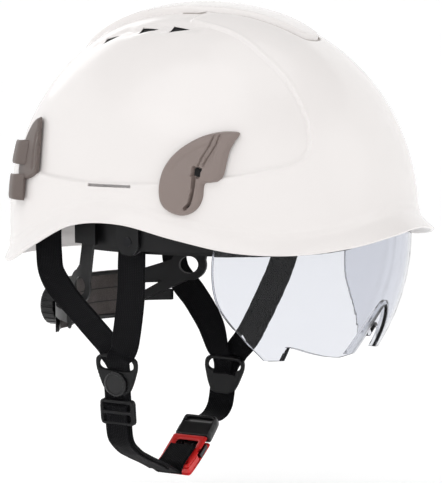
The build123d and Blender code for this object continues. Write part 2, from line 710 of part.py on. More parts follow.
LEFT_DIVIDER_LOW = (62.9, 32.5, -118.0)
RIGHT_LOWER = [(-63.8, 36.8, -101.0), (-61.3, 36.8, -127.0), (-53.0, 36.3, -136.5),
               (-42.0, 35.8, -142.5), (-29.0, 35.0, -148.5), (-17.0, 34.2, -154.5), (-5.6, 33.4, -160.8)]
LEFT_LOWER = [(62.4, 32.6, -119.5), (60.0, 32.8, -126.0), (54.5, 33.0, -130.5), (46.0, 33.0, -132.5),
              (40.6, 33.0, -132.0)]


def swing_point(radius, angle):
    """Local point on the swing plane at an angle from straight down."""
    turn = math.radians(angle)
    return radius * math.sin(turn), radius * math.cos(turn)


def arc_block(low_r, high_r, low_angle, high_angle, low_y, high_y):
    """Block that follows the swing of the right strap."""
    plane = Plane(origin=(SWING_X, low_y, SWING_Z), x_dir=(1, 0, 0), z_dir=(0, 1, 0))
    middle = (low_angle + high_angle) / 2.0
    edges = [
        ThreePointArc(*[swing_point(high_r, a) for a in (low_angle, middle, high_angle)]),
        Line(swing_point(high_r, high_angle), swing_point(low_r, high_angle)),
        ThreePointArc(*[swing_point(low_r, a) for a in (high_angle, middle, low_angle)]),
        Line(swing_point(low_r, low_angle), swing_point(high_r, low_angle)),
    ]
    return extrude(plane * make_face(edges), amount=high_y - low_y, dir=(0, 1, 0))


def flat_plane(top, low):
    """Plane of a flat fitting that hangs between two points, facing outwards."""
    top = Vector(*top)
    low = Vector(*low)
    down = (low - top).normalized()
    middle = (top + low) * 0.5
    outward = Vector(0, 1, 0).cross(down)
    if outward.X * middle.X < 0:
        outward = outward * -1.0
    return Plane(origin=middle, x_dir=down, z_dir=outward.normalized())


def make_divider(top, low):
    plane = flat_plane(top, low)
    half_h = DIVIDER_HEIGHT / 2.0
    half_w = DIVIDER_WIDTH / 2.0
    outline = polygon([
        (-half_h, -half_w + 3.0), (-half_h + 3.0, -half_w), (-2.0, -half_w), (half_h, -half_w + 7.0),
        (half_h, half_w - 7.0), (-2.0, half_w), (-half_h + 3.0, half_w), (-half_h, half_w - 3.0),
    ])
    hole = polygon([
        (-half_h + 4.0, -half_w + 4.5), (-5.0, -half_w + 4.5), (-3.2, -half_w + 6.0),
        (-3.2, half_w - 6.0), (-5.0, half_w - 4.5), (-half_h + 4.0, half_w - 4.5),
    ])
    start = plane.offset(-DIVIDER_THICK / 2.0)
    ring_plate = extrude(start * make_face(outline), amount=DIVIDER_THICK, dir=plane.z_dir)
    ring_plate -= extrude(start.offset(-1) * make_face(hole), amount=DIVIDER_THICK + 2, dir=plane.z_dir)
    slot = Plane(origin=plane.origin + plane.x_dir * (half_h - 2.6), x_dir=plane.x_dir, z_dir=plane.z_dir)
    ring_plate -= extrude(slot.offset(-3) * Rectangle(2.2, 17.0), amount=6, dir=plane.z_dir)
    cap_origin = plane.origin + plane.x_dir * DIVIDER_CAP_DROP + plane.z_dir * (DIVIDER_THICK / 2.0)
    cap_plane = Plane(origin=cap_origin, x_dir=plane.x_dir, z_dir=plane.z_dir)
    cap = extrude(cap_plane * Circle(DIVIDER_CAP_R), amount=2.6, dir=plane.z_dir)
    cap = chamfer(cap.edges().filter_by(GeomType.CIRCLE).sort_by(
        lambda e: e.center().dot(plane.z_dir))[-1], 0.8)
    return ring_plate, cap


def make_slider(top, low):
    run = flat_plane(top, low)
    middle = Vector(*top) + run.x_dir * SLIDER_DROP
    plane = Plane(origin=middle, x_dir=run.x_dir, z_dir=run.z_dir)
    frame_plate = extrude(
        plane.offset(-1.9) * (Rectangle(SLIDER_HEIGHT, SLIDER_WIDTH)
                              - Rectangle(SLIDER_HEIGHT - 5.0, SLIDER_WIDTH - 5.0)),
        amount=3.8, dir=plane.z_dir,
    )
    passage = extrude(
        plane.offset(-1.15) * Rectangle(SLIDER_HEIGHT + 4, STRAP_WIDTH + 0.6),
        amount=2.3, dir=plane.z_dir,
    )
    frame_plate -= passage
    over_bar = extrude(plane.offset(1.2) * Rectangle(3.2, SLIDER_WIDTH - 4.0), amount=1.6, dir=plane.z_dir)
    return frame_plate + over_bar


def make_straps():
    thick = STRAP_THICK
    along_y = (0, 1, 0)
    parts["right_front_strap"] = webbing(RIGHT_FRONT, along_y, STRAP_WIDTH, thick)
    parts["right_rear_strap"] = webbing(RIGHT_REAR, along_y, STRAP_WIDTH, thick)
    parts["left_front_strap"] = webbing(LEFT_FRONT, along_y, STRAP_WIDTH, thick)
    parts["left_rear_strap"] = webbing(LEFT_REAR, along_y, STRAP_WIDTH, thick)
    parts["right_lower_strap"] = webbing(RIGHT_LOWER, along_y, STRAP_WIDTH, thick)
    parts["left_lower_strap"] = webbing(LEFT_LOWER, along_y, STRAP_WIDTH, thick)
    for side, front_y in ((-1, RIGHT_FRONT[0][1]), (1, LEFT_FRONT[0][1])):
        name = "right" if side < 0 else "left"
        x = side * 86.0
        hanger = webbing([(x, front_y, HANGER_LOW_Z), (x, front_y, 14.0), (side * 84.5, front_y, 30.0)],
                         along_y, STRAP_WIDTH, 2.2)
        parts["strap_hanger_front_" + name] = hanger
        rear_x = side * 76.0
        rear = webbing([(rear_x, 81.5, 5.0), (rear_x, 81.5, 16.0), (side * 78.0, 81.5, 28.0)],
                       along_y, STRAP_WIDTH, 2.2)
        parts["strap_hanger_rear_" + name] = rear
    parts["right_divider"], parts["right_divider_cap"] = make_divider(RIGHT_DIVIDER_TOP, RIGHT_DIVIDER_LOW)
    parts["left_divider"], parts["left_divider_cap"] = make_divider(LEFT_DIVIDER_TOP, LEFT_DIVIDER_LOW)
    parts["right_slider"] = make_slider(RIGHT_LOWER[0], RIGHT_LOWER[1])


def make_buckle():
    half_thick = BUCKLE_THICK / 2.0
    half_width = BUCKLE_WIDTH / 2.0
    low_y = BUCKLE_Y - half_width
    high_y = BUCKLE_Y + half_width
    female = arc_block(BUCKLE_R - half_thick, BUCKLE_R + half_thick, SOCKET_FROM, SOCKET_TO, low_y, high_y)
    socket_from = SOCKET_TO - SOCKET_DEPTH
    female -= arc_block(BUCKLE_R - SOCKET_GAP / 2, BUCKLE_R + SOCKET_GAP / 2, socket_from, SOCKET_TO + 1.0,
                        BUCKLE_Y - SOCKET_WIDTH / 2, BUCKLE_Y + SOCKET_WIDTH / 2)
    female -= arc_block(BUCKLE_R - EAR_SLOT / 2, BUCKLE_R + EAR_SLOT / 2, SOCKET_TO - 5.2, SOCKET_TO + 1.0,
                        low_y - 1.0, high_y + 1.0)
    female -= arc_block(BUCKLE_R - half_thick - 1, BUCKLE_R + half_thick + 1, SOCKET_FROM + 0.9,
                        SOCKET_FROM + 1.9, BUCKLE_Y - 10.6, BUCKLE_Y + 10.6)
    parts["buckle_female"] = female

    base_from = SOCKET_TO + 0.15
    male = arc_block(BUCKLE_R - 4.0, BUCKLE_R + 4.0, base_from, BUCKLE_TO, low_y, high_y)
    male -= arc_block(BUCKLE_R - 6.0, BUCKLE_R + 6.0, BUCKLE_TO - 1.9, BUCKLE_TO - 0.9,
                      BUCKLE_Y - 10.6, BUCKLE_Y + 10.6)
    male += arc_block(BUCKLE_R - 1.5, BUCKLE_R + 1.5, socket_from + 0.4, base_from + 0.2,
                      BUCKLE_Y - 2.0, BUCKLE_Y + 2.0)
    for side in (-1, 1):
        root_low = BUCKLE_Y + side * 7.4 - 2.6
        male -= arc_block(BUCKLE_R - 1.7, BUCKLE_R + 1.7, base_from - 0.1, base_from + 1.3,
                          root_low, root_low + 5.2)
        inner_y = BUCKLE_Y + side * 5.2
        outer_y = BUCKLE_Y + side * 9.4
        shank = arc_block(BUCKLE_R - EAR_THICK / 2, BUCKLE_R + EAR_THICK / 2, socket_from + 0.5,
                          base_from + 1.0, min(inner_y, outer_y), max(inner_y, outer_y))
        ear_y = BUCKLE_Y + side * EAR_SPAN / 2
        ear = arc_block(BUCKLE_R - EAR_THICK / 2, BUCKLE_R + EAR_THICK / 2, SOCKET_TO - 4.8,
                        SOCKET_TO - 1.6, min(inner_y, ear_y), max(inner_y, ear_y))
        name = "prong_front" if side < 0 else "prong_rear"
        parts[name] = shank + ear
    parts["buckle_male"] = male


make_straps()
make_buckle()

os.makedirs("parts", exist_ok=True)
for name, solid in parts.items():
    export_step(solid, os.path.join("parts", name + ".step"))
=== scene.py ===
"""Hard hat with a short clear visor, clips, headband and chin strap, dressed for rendering."""
import math

import bmesh
import bpy
import numpy as np
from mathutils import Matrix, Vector, geometry


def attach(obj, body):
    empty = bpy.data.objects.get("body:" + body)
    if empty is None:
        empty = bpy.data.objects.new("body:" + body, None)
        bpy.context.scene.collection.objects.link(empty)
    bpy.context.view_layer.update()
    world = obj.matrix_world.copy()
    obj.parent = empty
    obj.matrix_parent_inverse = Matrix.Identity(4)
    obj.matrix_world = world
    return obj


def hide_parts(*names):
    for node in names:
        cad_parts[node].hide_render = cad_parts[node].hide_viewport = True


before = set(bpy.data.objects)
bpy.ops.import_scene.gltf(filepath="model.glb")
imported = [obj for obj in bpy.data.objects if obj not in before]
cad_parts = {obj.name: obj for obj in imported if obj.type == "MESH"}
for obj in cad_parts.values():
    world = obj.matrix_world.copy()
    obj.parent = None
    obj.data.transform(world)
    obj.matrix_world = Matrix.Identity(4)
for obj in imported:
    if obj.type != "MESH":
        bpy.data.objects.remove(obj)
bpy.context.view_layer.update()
MM = 0.001


# ---------------------------------------------------------------- sizes shared with the design, mm
MID_Y = 9.0
MID_Z = 10.0
HALF_WIDTH = 104.0
REACH_FRONT = 142.7
REACH_REAR = 131.6
RISE = 140.0
WALL = 3.0
PLAN_POWER = 2.3
DOME_POWER = 2.1
LIP_HEIGHT = 13.0
LIP_OUT = 4.0
PEAK_OUT = 8.0
PEAK_SPREAD = 42.0
RIM_STEP = 15.0
RIM_HEIGHTS = [11.5, 8.3, 3.0, -0.5, 0.6, 7.7, 15.2, 12.8, -1.7, -14.9, -18.0, -18.0, -18.0]


def rim_height(angle):
    """Height of the rim at angles in degrees from the front."""
    turn = np.abs((np.asarray(angle, float) + 180.0) % 360.0 - 180.0)
    step = np.clip(turn / RIM_STEP, 0.0, 11.9999)
    low = step.astype(int)
    share = step - low
    table = np.array([RIM_HEIGHTS[1]] + RIM_HEIGHTS + [RIM_HEIGHTS[-2]])
    before, here, after, beyond = (table[low + k] for k in range(4))
    slope_here = (after - before) / 2.0
    slope_after = (beyond - here) / 2.0
    square = share * share
    cube = square * share
    return (
        (2 * cube - 3 * square + 1) * here
        + (cube - 2 * square + share) * slope_here
        + (3 * square - 2 * cube) * after
        + (cube - square) * slope_after
    )


def plan_point(angle, inset=0.0):
    """Plan of the dome at its base, from the dome's own centre."""
    turn = np.radians(angle)
    side, ahead = np.sin(turn), np.cos(turn)
    norm = (np.abs(side) ** PLAN_POWER + np.abs(ahead) ** PLAN_POWER) ** (1.0 / PLAN_POWER)
    reach = np.where(ahead > 0, REACH_FRONT, REACH_REAR) - inset
    return -(HALF_WIDTH - inset) * side / norm, -reach * ahead / norm


def dome_point(angle, height, inset=0.0, out=0.0):
    """Point of the dome at an angle and a height, moved outwards level by `out`."""
    x, y = plan_point(angle, inset)
    share = np.clip((height - MID_Z) / (RISE - inset), 0.0, 1.0)
    scale = (1.0 - share ** DOME_POWER) ** (1.0 / DOME_POWER)
    grow = scale + out / np.hypot(x, y)
    return np.stack([x * grow, MID_Y + y * grow, height + 0.0 * x], axis=-1)


def lip_flare(angle):
    turn = (np.asarray(angle, float) + 180.0) % 360.0 - 180.0
    return LIP_OUT + PEAK_OUT * np.exp(-((turn / PEAK_SPREAD) ** 2))


# ---------------------------------------------------------------- map of the dome, for its relief
CROWN_RUN = 120.0          # mm of the map for each radian from the crown


def map_height(run, inset=0.0):
    """Height of the dome at a run from the crown."""
    theta = np.clip(run / CROWN_RUN, 0.0, math.pi / 2)
    top = MID_Z + (RISE - inset) * np.cos(theta) ** (2.0 / DOME_POWER)
    return np.where(run > CROWN_RUN * math.pi / 2, MID_Z - (run - CROWN_RUN * math.pi / 2), top)


def map_run(height, inset=0.0):
    share = np.clip((height - MID_Z) / (RISE - inset), 0.0, 1.0)
    theta = np.arccos(share ** (DOME_POWER / 2.0))
    return CROWN_RUN * theta + np.clip(MID_Z - height, 0.0, None)


def to_map(points):
    """Place on the map of points that lie on the dome."""
    points = np.asarray(points, float)
    x = -points[:, 0] / HALF_WIDTH
    y = -(points[:, 1] - MID_Y) / np.where(points[:, 1] < MID_Y, REACH_FRONT, REACH_REAR)
    angle = np.arctan2(x, y)
    scale = (np.abs(x) ** PLAN_POWER + np.abs(y) ** PLAN_POWER) ** (1.0 / PLAN_POWER)
    by_plan = CROWN_RUN * np.arcsin(np.clip(scale, 0, 1) ** (DOME_POWER / 2.0))
    by_height = map_run(points[:, 2])
    blend = np.clip((scale - 0.6) / 0.25, 0.0, 1.0)
    run = by_plan * (1 - blend) + by_height * blend
    return np.stack([run * np.sin(angle), run * np.cos(angle)], axis=-1)


def smooth_loop(points, steps=6, closed=True):
    """Catmull-Rom curve through points."""
    points = np.asarray(points, float)
    count = len(points)
    out = []
    for index in range(count if closed else count - 1):
        if closed:
            a, b, c, d = (points[(index + k) % count] for k in (-1, 0, 1, 2))
        else:
            a = points[max(index - 1, 0)]
            b = points[index]
            c = points[index + 1]
            d = points[min(index + 2, count - 1)]
        for step in range(steps):
            t = step / steps
            out.append(0.5 * (2 * b + (c - a) * t + (2 * a - 5 * b + 4 * c - d) * t * t
                              + (3 * b - a - 3 * c + d) * t ** 3))
    if not closed:
        out.append(points[-1])
    return np.array(out)


def line_distance(spots, line, closed=True):
    """Distance from each spot to a line of points."""
    best = np.full(len(spots), 1e9)
    count = len(line)
    for index in range(count if closed else count - 1):
        a = line[index]
        b = line[(index + 1) % count]
        along = b - a
        share = np.clip(((spots - a) @ along) / max(along @ along, 1e-9), 0.0, 1.0)
        gap = spots - a - share[:, None] * along
        best = np.minimum(best, np.hypot(gap[:, 0], gap[:, 1]))
    return best


def inside(spots, line):
    """True for the spots inside a closed line."""
    result = np.zeros(len(spots), bool)
    x, y = spots[:, 0], spots[:, 1]
    count = len(line)
    for index in range(count):
        ax, ay = line[index]
        bx, by = line[(index + 1) % count]
        crosses = (ay > y) != (by > y)
        at = (bx - ax) * (y - ay) / ((by - ay) if by != ay else 1e-9) + ax
        result ^= crosses & (x < at)
    return result


def depth_in(spots, line):
    """Distance to a closed line, positive inside it."""
    return np.where(inside(spots, line), 1.0, -1.0) * line_distance(spots, line)


def ease(value):
    value = np.clip(value, 0.0, 1.0)
    return value * value * (3.0 - 2.0 * value)


def unit(values):
    """Vectors of length one, along the last axis."""
    return values / np.linalg.norm(values, axis=-1, keepdims=True)


def run_lengths(line):
    """Length along a line up to each of its points."""
    return np.concatenate([[0.0], np.cumsum(np.linalg.norm(np.diff(line, axis=0), axis=1))])


def ring_faces(rows, size, joined=False):
    """Faces between rings laid one after another; joined closes the last ring on to the first."""
    faces = []
    for row in range(rows if joined else rows - 1):
        here = row * size
        there = (row + 1) % rows * size
        for index in range(size):
            after = (index + 1) % size
            faces.append((here + index, here + after, there + after, there + index))
    return faces


def end_faces(rows, size):
    """Faces that close the first and the last ring."""
    return [tuple(range(size - 1, -1, -1)), tuple((rows - 1) * size + k for k in range(size))]


# Edge of the recessed side panel, from the crown round the front and down to the back
PANEL_EDGE = [
    (-27.0, -7.0, 146.0), (-34.0, -5.0, 143.5), (-40.0, -4.5, 140.0), (-43.0, -18.0, 137.5),
    (-44.5, -35.0, 133.0), (-47.0, -49.0, 127.0), (-50.0, -61.0, 119.0), (-51.5, -72.0, 111.0),
    (-53.0, -82.0, 101.0), (-55.5, -91.0, 90.0), (-57.5, -97.0, 79.0), (-60.5, -99.5, 68.0),
    (-63.5, -98.5, 60.5), (-69.0, -95.0, 55.5), (-77.0, -88.0, 52.0), (-89.0, -67.0, 47.5),
    (-96.0, -42.0, 44.0), (-101.0, -18.0, 41.5), (-102.0, 10.0, 40.5), (-101.0, 34.0, 40.5),
    (-97.0, 56.0, 42.0), (-91.0, 76.0, 44.0), (-79.0, 98.0, 47.0), (-60.0, 117.0, 50.0),
    (-40.0, 130.0, 52.0), (-14.0, 137.5, 53.0), (-4.0, 135.0, 70.0), (-4.0, 118.0, 104.0),
    (-16.0, 98.0, 122.0), (-24.0, 78.0, 133.0), (-26.5, 50.0, 142.0), (-27.0, 20.0, 146.0),
]
BLADE_EDGE = [
    (0.0, -71.0, 129.0), (-7.0, -70.0, 129.0), (-11.0, -66.5, 130.5), (-15.5, -50.0, 137.0),
    (-20.0, -30.0, 142.0), (-25.0, -8.0, 146.0), (-26.0, 20.0, 146.5), (-25.5, 50.0, 142.5),
    (-22.5, 74.0, 135.0), (-14.0, 94.0, 125.0), (-6.0, 101.0, 121.0), (0.0, 102.0, 120.0),
]
PANEL_DEPTH = 1.6
PANEL_SLOPE = 2.0          # width of the step down into the panel
RIM_RISE = 0.35            # bead just outside the panel
RIM_OUT = 1.7
RIM_SPREAD = 1.3
CREASE_BEAD = 0.7          # bead where the dome meets the lip
CREASE_SPREAD = 2.2
BLADE_RISE = 2.4
BLADE_SLOPE = 2.4
GROOVE_DEPTH = 1.3         # groove round the blade
GROOVE_OUT = 1.0
GROOVE_SPREAD = 0.8
SCOOP_DEPTH = 1.3          # hollow along each vent
SCOOP_SPREAD = 5.0
VENT_OUT_X = 45.0
VENT_WIDTH = 5.0
VENTS = [(-1.5, 14.0), (22.5, 13.0), (51.0, 12.0)]
SLOT_LOW_Y = 2.0
SLOT_HIGH_Y = 34.0
SLOT_LOW_Z = 37.7
SLOT_HIGH_Z = 39.5


def mirrored(line):
    return np.asarray(line) * np.array([-1.0, 1.0])


def outer_relief(spots):
    """How far the outside stands from the plain dome, at spots on the map."""
    panel = smooth_loop(to_map(PANEL_EDGE), 3)
    half_blade = to_map(BLADE_EDGE)
    blade = np.concatenate([half_blade, mirrored(half_blade)[::-1]])
    blade = smooth_loop(blade, 3)
    depth = np.maximum(depth_in(spots, panel), depth_in(spots, mirrored(panel)))
    height = -PANEL_DEPTH * ease(depth / PANEL_SLOPE + 0.5)
    height += RIM_RISE * np.exp(-((depth + RIM_OUT) / RIM_SPREAD) ** 2)
    blade_depth = depth_in(spots, blade)
    height += BLADE_RISE * ease(blade_depth / BLADE_SLOPE + 0.1)
    height -= GROOVE_DEPTH * np.exp(-((blade_depth + GROOVE_OUT) / GROOVE_SPREAD) ** 2)
    for front, length in VENTS:
        for side in (-1, 1):
            low = to_map([(side * VENT_OUT_X, front - 8.0, 136.0)])[0]
            high = to_map([(side * (VENT_OUT_X + 3.0), front + length + 1.0, 132.0)])[0]
            gap = line_distance(spots, np.array([low, high]), closed=False)
            height -= SCOOP_DEPTH * np.exp(-((gap / SCOOP_SPREAD) ** 2))
    return height


def grid_normals(points):
    """Outward normals of a grid of points that closes round its second axis."""
    down = np.gradient(points, axis=0)
    across = np.roll(points, -1, axis=1) - np.roll(points, 1, axis=1)
    normal = np.cross(across, down)
    size = np.linalg.norm(normal, axis=-1, keepdims=True)
    normal /= np.maximum(size, 1e-9)
    outwards = np.sign(np.sum(normal * (points - np.array([0.0, MID_Y, 0.0])), axis=-1, keepdims=True))
    return normal * np.where(outwards == 0, 1.0, outwards)


def new_object(name, vertices, faces, smooth=True, uv=None):
    """Mesh object from vertices in millimetres."""
    mesh = bpy.data.meshes.new(name)
    mesh.from_pydata([tuple(v) for v in np.asarray(vertices, float) * MM], [], faces)
    mesh.validate()
    if uv is not None:
        layer = mesh.uv_layers.new(name="UVMap")
        for loop in mesh.loops:
            layer.data[loop.index].uv = uv[loop.vertex_index]
    if smooth:
        for polygon in mesh.polygons:
            polygon.use_smooth = True
    mesh.update()
    piece = bpy.data.objects.new(name, mesh)
    bpy.context.scene.collection.objects.link(piece)
    return piece


def apply_modifiers(piece):
    """Bakes a piece's modifiers into its mesh."""
    graph = bpy.context.evaluated_depsgraph_get()
    graph.update()
    mesh = bpy.data.meshes.new_from_object(piece.evaluated_get(graph))
    piece.modifiers.clear()
    piece.data = mesh


def face_outwards(piece, weld=True):
    """Turns the faces of a closed piece outwards, and joins vertices that coincide."""
    work = bmesh.new()
    work.from_mesh(piece.data)
    if weld:
        bmesh.ops.remove_doubles(work, verts=work.verts, dist=1e-7)
    bmesh.ops.recalc_face_normals(work, faces=work.faces)
    work.to_mesh(piece.data)
    work.free()


SHELL_TURNS = 720
DOME_ROWS = 280
LIP_ROWS = 16
ROUND_ROWS = 8
INNER_ROWS = 60
LIP_SWEEP = 1.45           # powers of the lip's flare, outside and inside
LIP_SWEEP_INSIDE = 1.6


def shell_rows():
    """Rings of the shell from the outside of the crown, round the rim, to the inside of the crown."""
    angle = np.arange(SHELL_TURNS) * 360.0 / SHELL_TURNS
    crease = rim_height(angle) + LIP_HEIGHT
    run_end = map_run(crease)
    rows = []
    spots = []
    for index in range(1, DOME_ROWS + 1):
        run = run_end * index / DOME_ROWS
        rows.append(dome_point(angle, map_height(run)))
        turn = np.radians(angle)
        spots.append(np.stack([run * np.sin(turn), run * np.cos(turn)], axis=-1))
    dome = np.array(rows)
    normal = grid_normals(dome)
    height = outer_relief(np.array(spots).reshape(-1, 2)).reshape(DOME_ROWS, SHELL_TURNS)
    above = np.array(rows)[..., 2] - crease
    height += CREASE_BEAD * np.exp(-((above / CREASE_SPREAD) ** 2))
    dome = dome + normal * height[..., None]
    lip = []
    flare = lip_flare(angle)
    for index in range(1, LIP_ROWS + 1):
        drop = index / LIP_ROWS
        bead = CREASE_BEAD * math.exp(-((LIP_HEIGHT * drop / CREASE_SPREAD) ** 2))
        out = flare * drop ** LIP_SWEEP + bead
        lip.append(dome_point(angle, crease - (LIP_HEIGHT - WALL / 2) * drop, 0.0, out))
    last = lip[-1]
    inward = np.stack(plan_point(angle), axis=-1)
    inward /= -np.linalg.norm(inward, axis=-1, keepdims=True)
    rounding = []
    for index in range(1, ROUND_ROWS):
        turn = math.pi * index / ROUND_ROWS
        step = WALL / 2 * (1 - math.cos(turn))
        point = last.copy()
        point[:, :2] += inward * step
        point[:, 2] -= WALL / 2 * math.sin(turn)
        rounding.append(point)
    inner = []
    for index in range(LIP_ROWS, -1, -2):
        drop = index / LIP_ROWS
        out = flare * drop ** LIP_SWEEP_INSIDE
        inner.append(dome_point(angle, crease - (LIP_HEIGHT - WALL / 2) * drop, WALL, out))
    run_top = map_run(crease, WALL)
    for index in range(INNER_ROWS - 1, 0, -1):
        inner.append(dome_point(angle, map_height(run_top * index / INNER_ROWS, WALL), WALL))
    return np.concatenate([dome, np.array(lip), np.array(rounding), np.array(inner)])


def opening_prisms():
    """Vertices and faces of the prisms that cut the vents and the accessory slots."""
    prisms = []
    for side in (-1, 1):
        for front, length in VENTS:
            x = side * VENT_OUT_X
            corners = [(x, front - 6.0), (x - side * VENT_WIDTH / 2.0, front + length - 6.0),
                       (x + side * VENT_WIDTH, front + length - 6.0)]
            if side < 0:
                corners = corners[::-1]
            points = [(p[0], p[1], z) for z in (95.0, 165.0) for p in corners]
            prisms.append((points, [(2, 1, 0), (3, 4, 5), (0, 1, 4, 3), (1, 2, 5, 4), (2, 0, 3, 5)]))
        low, high = sorted((side * 90.0, side * 112.0))
        points = [(x, y, z) for z in (SLOT_LOW_Z, SLOT_HIGH_Z) for x, y in
                  ((low, SLOT_LOW_Y), (high, SLOT_LOW_Y), (high, SLOT_HIGH_Y), (low, SLOT_HIGH_Y))]
        prisms.append((points, [(3, 2, 1, 0), (4, 5, 6, 7), (0, 1, 5, 4), (1, 2, 6, 5), (2, 3, 7, 6),
                                (3, 0, 4, 7)]))
    all_points = []
    all_faces = []
    for points, around in prisms:
        start = len(all_points)
        all_points.extend(points)
        all_faces.extend([tuple(start + k for k in face) for face in around])
    return all_points, all_faces


def make_shell():
    """Shell with a true wall, its relief, its vents and its accessory slots."""
    rows = shell_rows()
    count, turns = rows.shape[:2]
    vertices = rows.reshape(-1, 3)
    crown = np.array([[0.0, MID_Y, MID_Z + RISE + BLADE_RISE], [0.0, MID_Y, MID_Z + RISE - WALL]])
    vertices = np.concatenate([vertices, crown])
    top = count * turns
    faces = []
    for row in range(count - 1):
        base = row * turns
        for index in range(turns):
            after = (index + 1) % turns
            faces.append((base + index, base + turns + index, base + turns + after, base + after))
    for index in range(turns):
        after = (index + 1) % turns
        faces.append((top, index, after))
        low = (count - 1) * turns
        faces.append((top + 1, low + after, low + index))
    shell = new_object("shell_skin", vertices, faces)
    face_outwards(shell)
    cutter = new_object("shell_cutter", *opening_prisms(), smooth=False)
    face_outwards(cutter)
    cut = shell.modifiers.new("openings", "BOOLEAN")
    cut.object = cutter
    cut.operation = "DIFFERENCE"
    cut.solver = "MANIFOLD"
    apply_modifiers(shell)
    bpy.data.objects.remove(cutter)
    smooth_by_angle(shell, 38.0)
    return shell


def smooth_by_angle(piece, degrees):
    """Smooth shading with sharp edges where faces meet at more than an angle."""
    mesh = piece.data
    work = bmesh.new()
    work.from_mesh(mesh)
    limit = math.radians(degrees)
    for face in work.faces:
        face.smooth = True
    for edge in work.edges:
        edge.smooth = not (len(edge.link_faces) == 2 and edge.calc_face_angle(0.0) > limit)
    work.to_mesh(mesh)
    work.free()


def solid_piece(name, vertices, faces, degrees):
    """Closed piece with its faces outwards and its creases sharp."""
    piece = new_object(name, vertices, faces)
    face_outwards(piece)
    smooth_by_angle(piece, degrees)
    return piece


# ---------------------------------------------------------------- materials
def links_of(name):
    """New node material: its node tree and its shader."""
    made = bpy.data.materials.new(name)
    made.use_nodes = True
    tree = made.node_tree
    return made, tree, tree.nodes["Principled BSDF"]


def add_node(tree, kind, **values):
    node = tree.nodes.new(kind)
    for key, value in values.items():
        if key in node.inputs:
            node.inputs[key].default_value = value
        else:
            setattr(node, key, value)
    return node


def object_place(tree, scale=1.0):
    """Position on the piece in metres times a scale."""
    place = tree.nodes.new("ShaderNodeTexCoord")
    mapping = add_node(tree, "ShaderNodeMapping")
    mapping.inputs["Scale"].default_value = (scale, scale, scale)
    tree.links.new(place.outputs["Object"], mapping.inputs["Vector"])
    return mapping.outputs["Vector"]


def noise(tree, place, **values):
    """Noise at a place, from 0 to 1."""
    node = add_node(tree, "ShaderNodeTexNoise", **values)
    tree.links.new(place, node.inputs["Vector"])
    return node.outputs["Fac"]


def colour_from(tree, shader, source, dark, light):
    """Base colour that goes from dark to light with a source."""
    mix = add_node(tree, "ShaderNodeMix", data_type="RGBA")
    mix.inputs["A"].default_value = (*dark, 1.0)
    mix.inputs["B"].default_value = (*light, 1.0)
    tree.links.new(source, mix.inputs["Factor"])
    tree.links.new(mix.outputs["Result"], shader.inputs["Base Color"])
    return mix.outputs["Result"]


def gloss_from(tree, shader, source, low, high, start=0.0, end=1.0):
    """Roughness that goes from low to high as a source goes from start to end."""
    gloss = add_node(tree, "ShaderNodeMapRange")
    for key, value in (("From Min", start), ("From Max", end), ("To Min", low), ("To Max", high)):
        gloss.inputs[key].default_value = value
    tree.links.new(source, gloss.inputs["Value"])
    tree.links.new(gloss.outputs["Result"], shader.inputs["Roughness"])


def bump_from(tree, shader, source, strength, distance):
    relief = add_node(tree, "ShaderNodeBump", Strength=strength, Distance=distance)
    tree.links.new(source, relief.inputs["Height"])
    tree.links.new(relief.outputs["Normal"], shader.inputs["Normal"])


def moulded(name, light, dark, roughness, grain=900.0, bump=0.02, spread=30.0, coat=0.0, specular=0.5):
    """Moulded plastic: slight colour drift, fine grain in the surface and in its roughness."""
    made, tree, shader = links_of(name)
    place = object_place(tree)
    drift = noise(tree, place, Scale=spread, Detail=4.0, Roughness=0.55)
    colour_from(tree, shader, drift, dark, light)
    fine = noise(tree, place, Scale=grain, Detail=3.0, Roughness=0.6)
    gloss_from(tree, shader, fine, roughness - 0.05, roughness + 0.05)
    bump_from(tree, shader, fine, bump * 10.0, 0.00006)
    shader.inputs["Coat Weight"].default_value = coat
    shader.inputs["Coat Roughness"].default_value = 0.12
    shader.inputs["Specular IOR Level"].default_value = specular
    return made


def math_node(tree, operation, *values):
    node = add_node(tree, "ShaderNodeMath", operation=operation)
    for socket, value in zip(node.inputs, values):
        if isinstance(value, (int, float)):
            socket.default_value = value
        else:
            tree.links.new(value, socket)
    return node.outputs[0]


def wave(tree, source, period):
    """Sine wave of a length in millimetres, from 0 to 1."""
    scaled = math_node(tree, "MULTIPLY_ADD", source, 2.0 * math.pi / period, 0.0)
    return math_node(tree, "MULTIPLY_ADD", math_node(tree, "SINE", scaled), 0.5, 0.5)


def woven(name, light, dark, warp=1.3, weft=0.9):
    """Webbing or cloth: ribs of yarn along U and across V, which are in millimetres."""
    made, tree, shader = links_of(name)
    layer = tree.nodes.new("ShaderNodeUVMap")
    split = tree.nodes.new("ShaderNodeSeparateXYZ")
    tree.links.new(layer.outputs["UV"], split.inputs[0])
    slanted = math_node(tree, "ADD", split.outputs["X"], split.outputs["Y"])
    ribs = wave(tree, split.outputs["Y"], warp)
    picks = wave(tree, slanted, weft * 2.0)
    cross = wave(tree, split.outputs["X"], weft)
    cloth = math_node(tree, "MULTIPLY", ribs, math_node(tree, "ADD", picks, 0.35))
    cloth = math_node(tree, "ADD", cloth, math_node(tree, "MULTIPLY", cross, 0.35))
    fuzz = noise(tree, object_place(tree), Scale=1200.0, Detail=4.0)
    height = math_node(tree, "ADD", cloth, math_node(tree, "MULTIPLY", fuzz, 0.5))
    colour_from(tree, shader, math_node(tree, "MULTIPLY", height, 0.6), dark, light)
    bump_from(tree, shader, height, 0.7, 0.00022)
    shader.inputs["Roughness"].default_value = 0.78
    shader.inputs["Sheen Weight"].default_value = 0.03
    shader.inputs["Sheen Roughness"].default_value = 0.5
    shader.inputs["Specular IOR Level"].default_value = 0.1
    return made


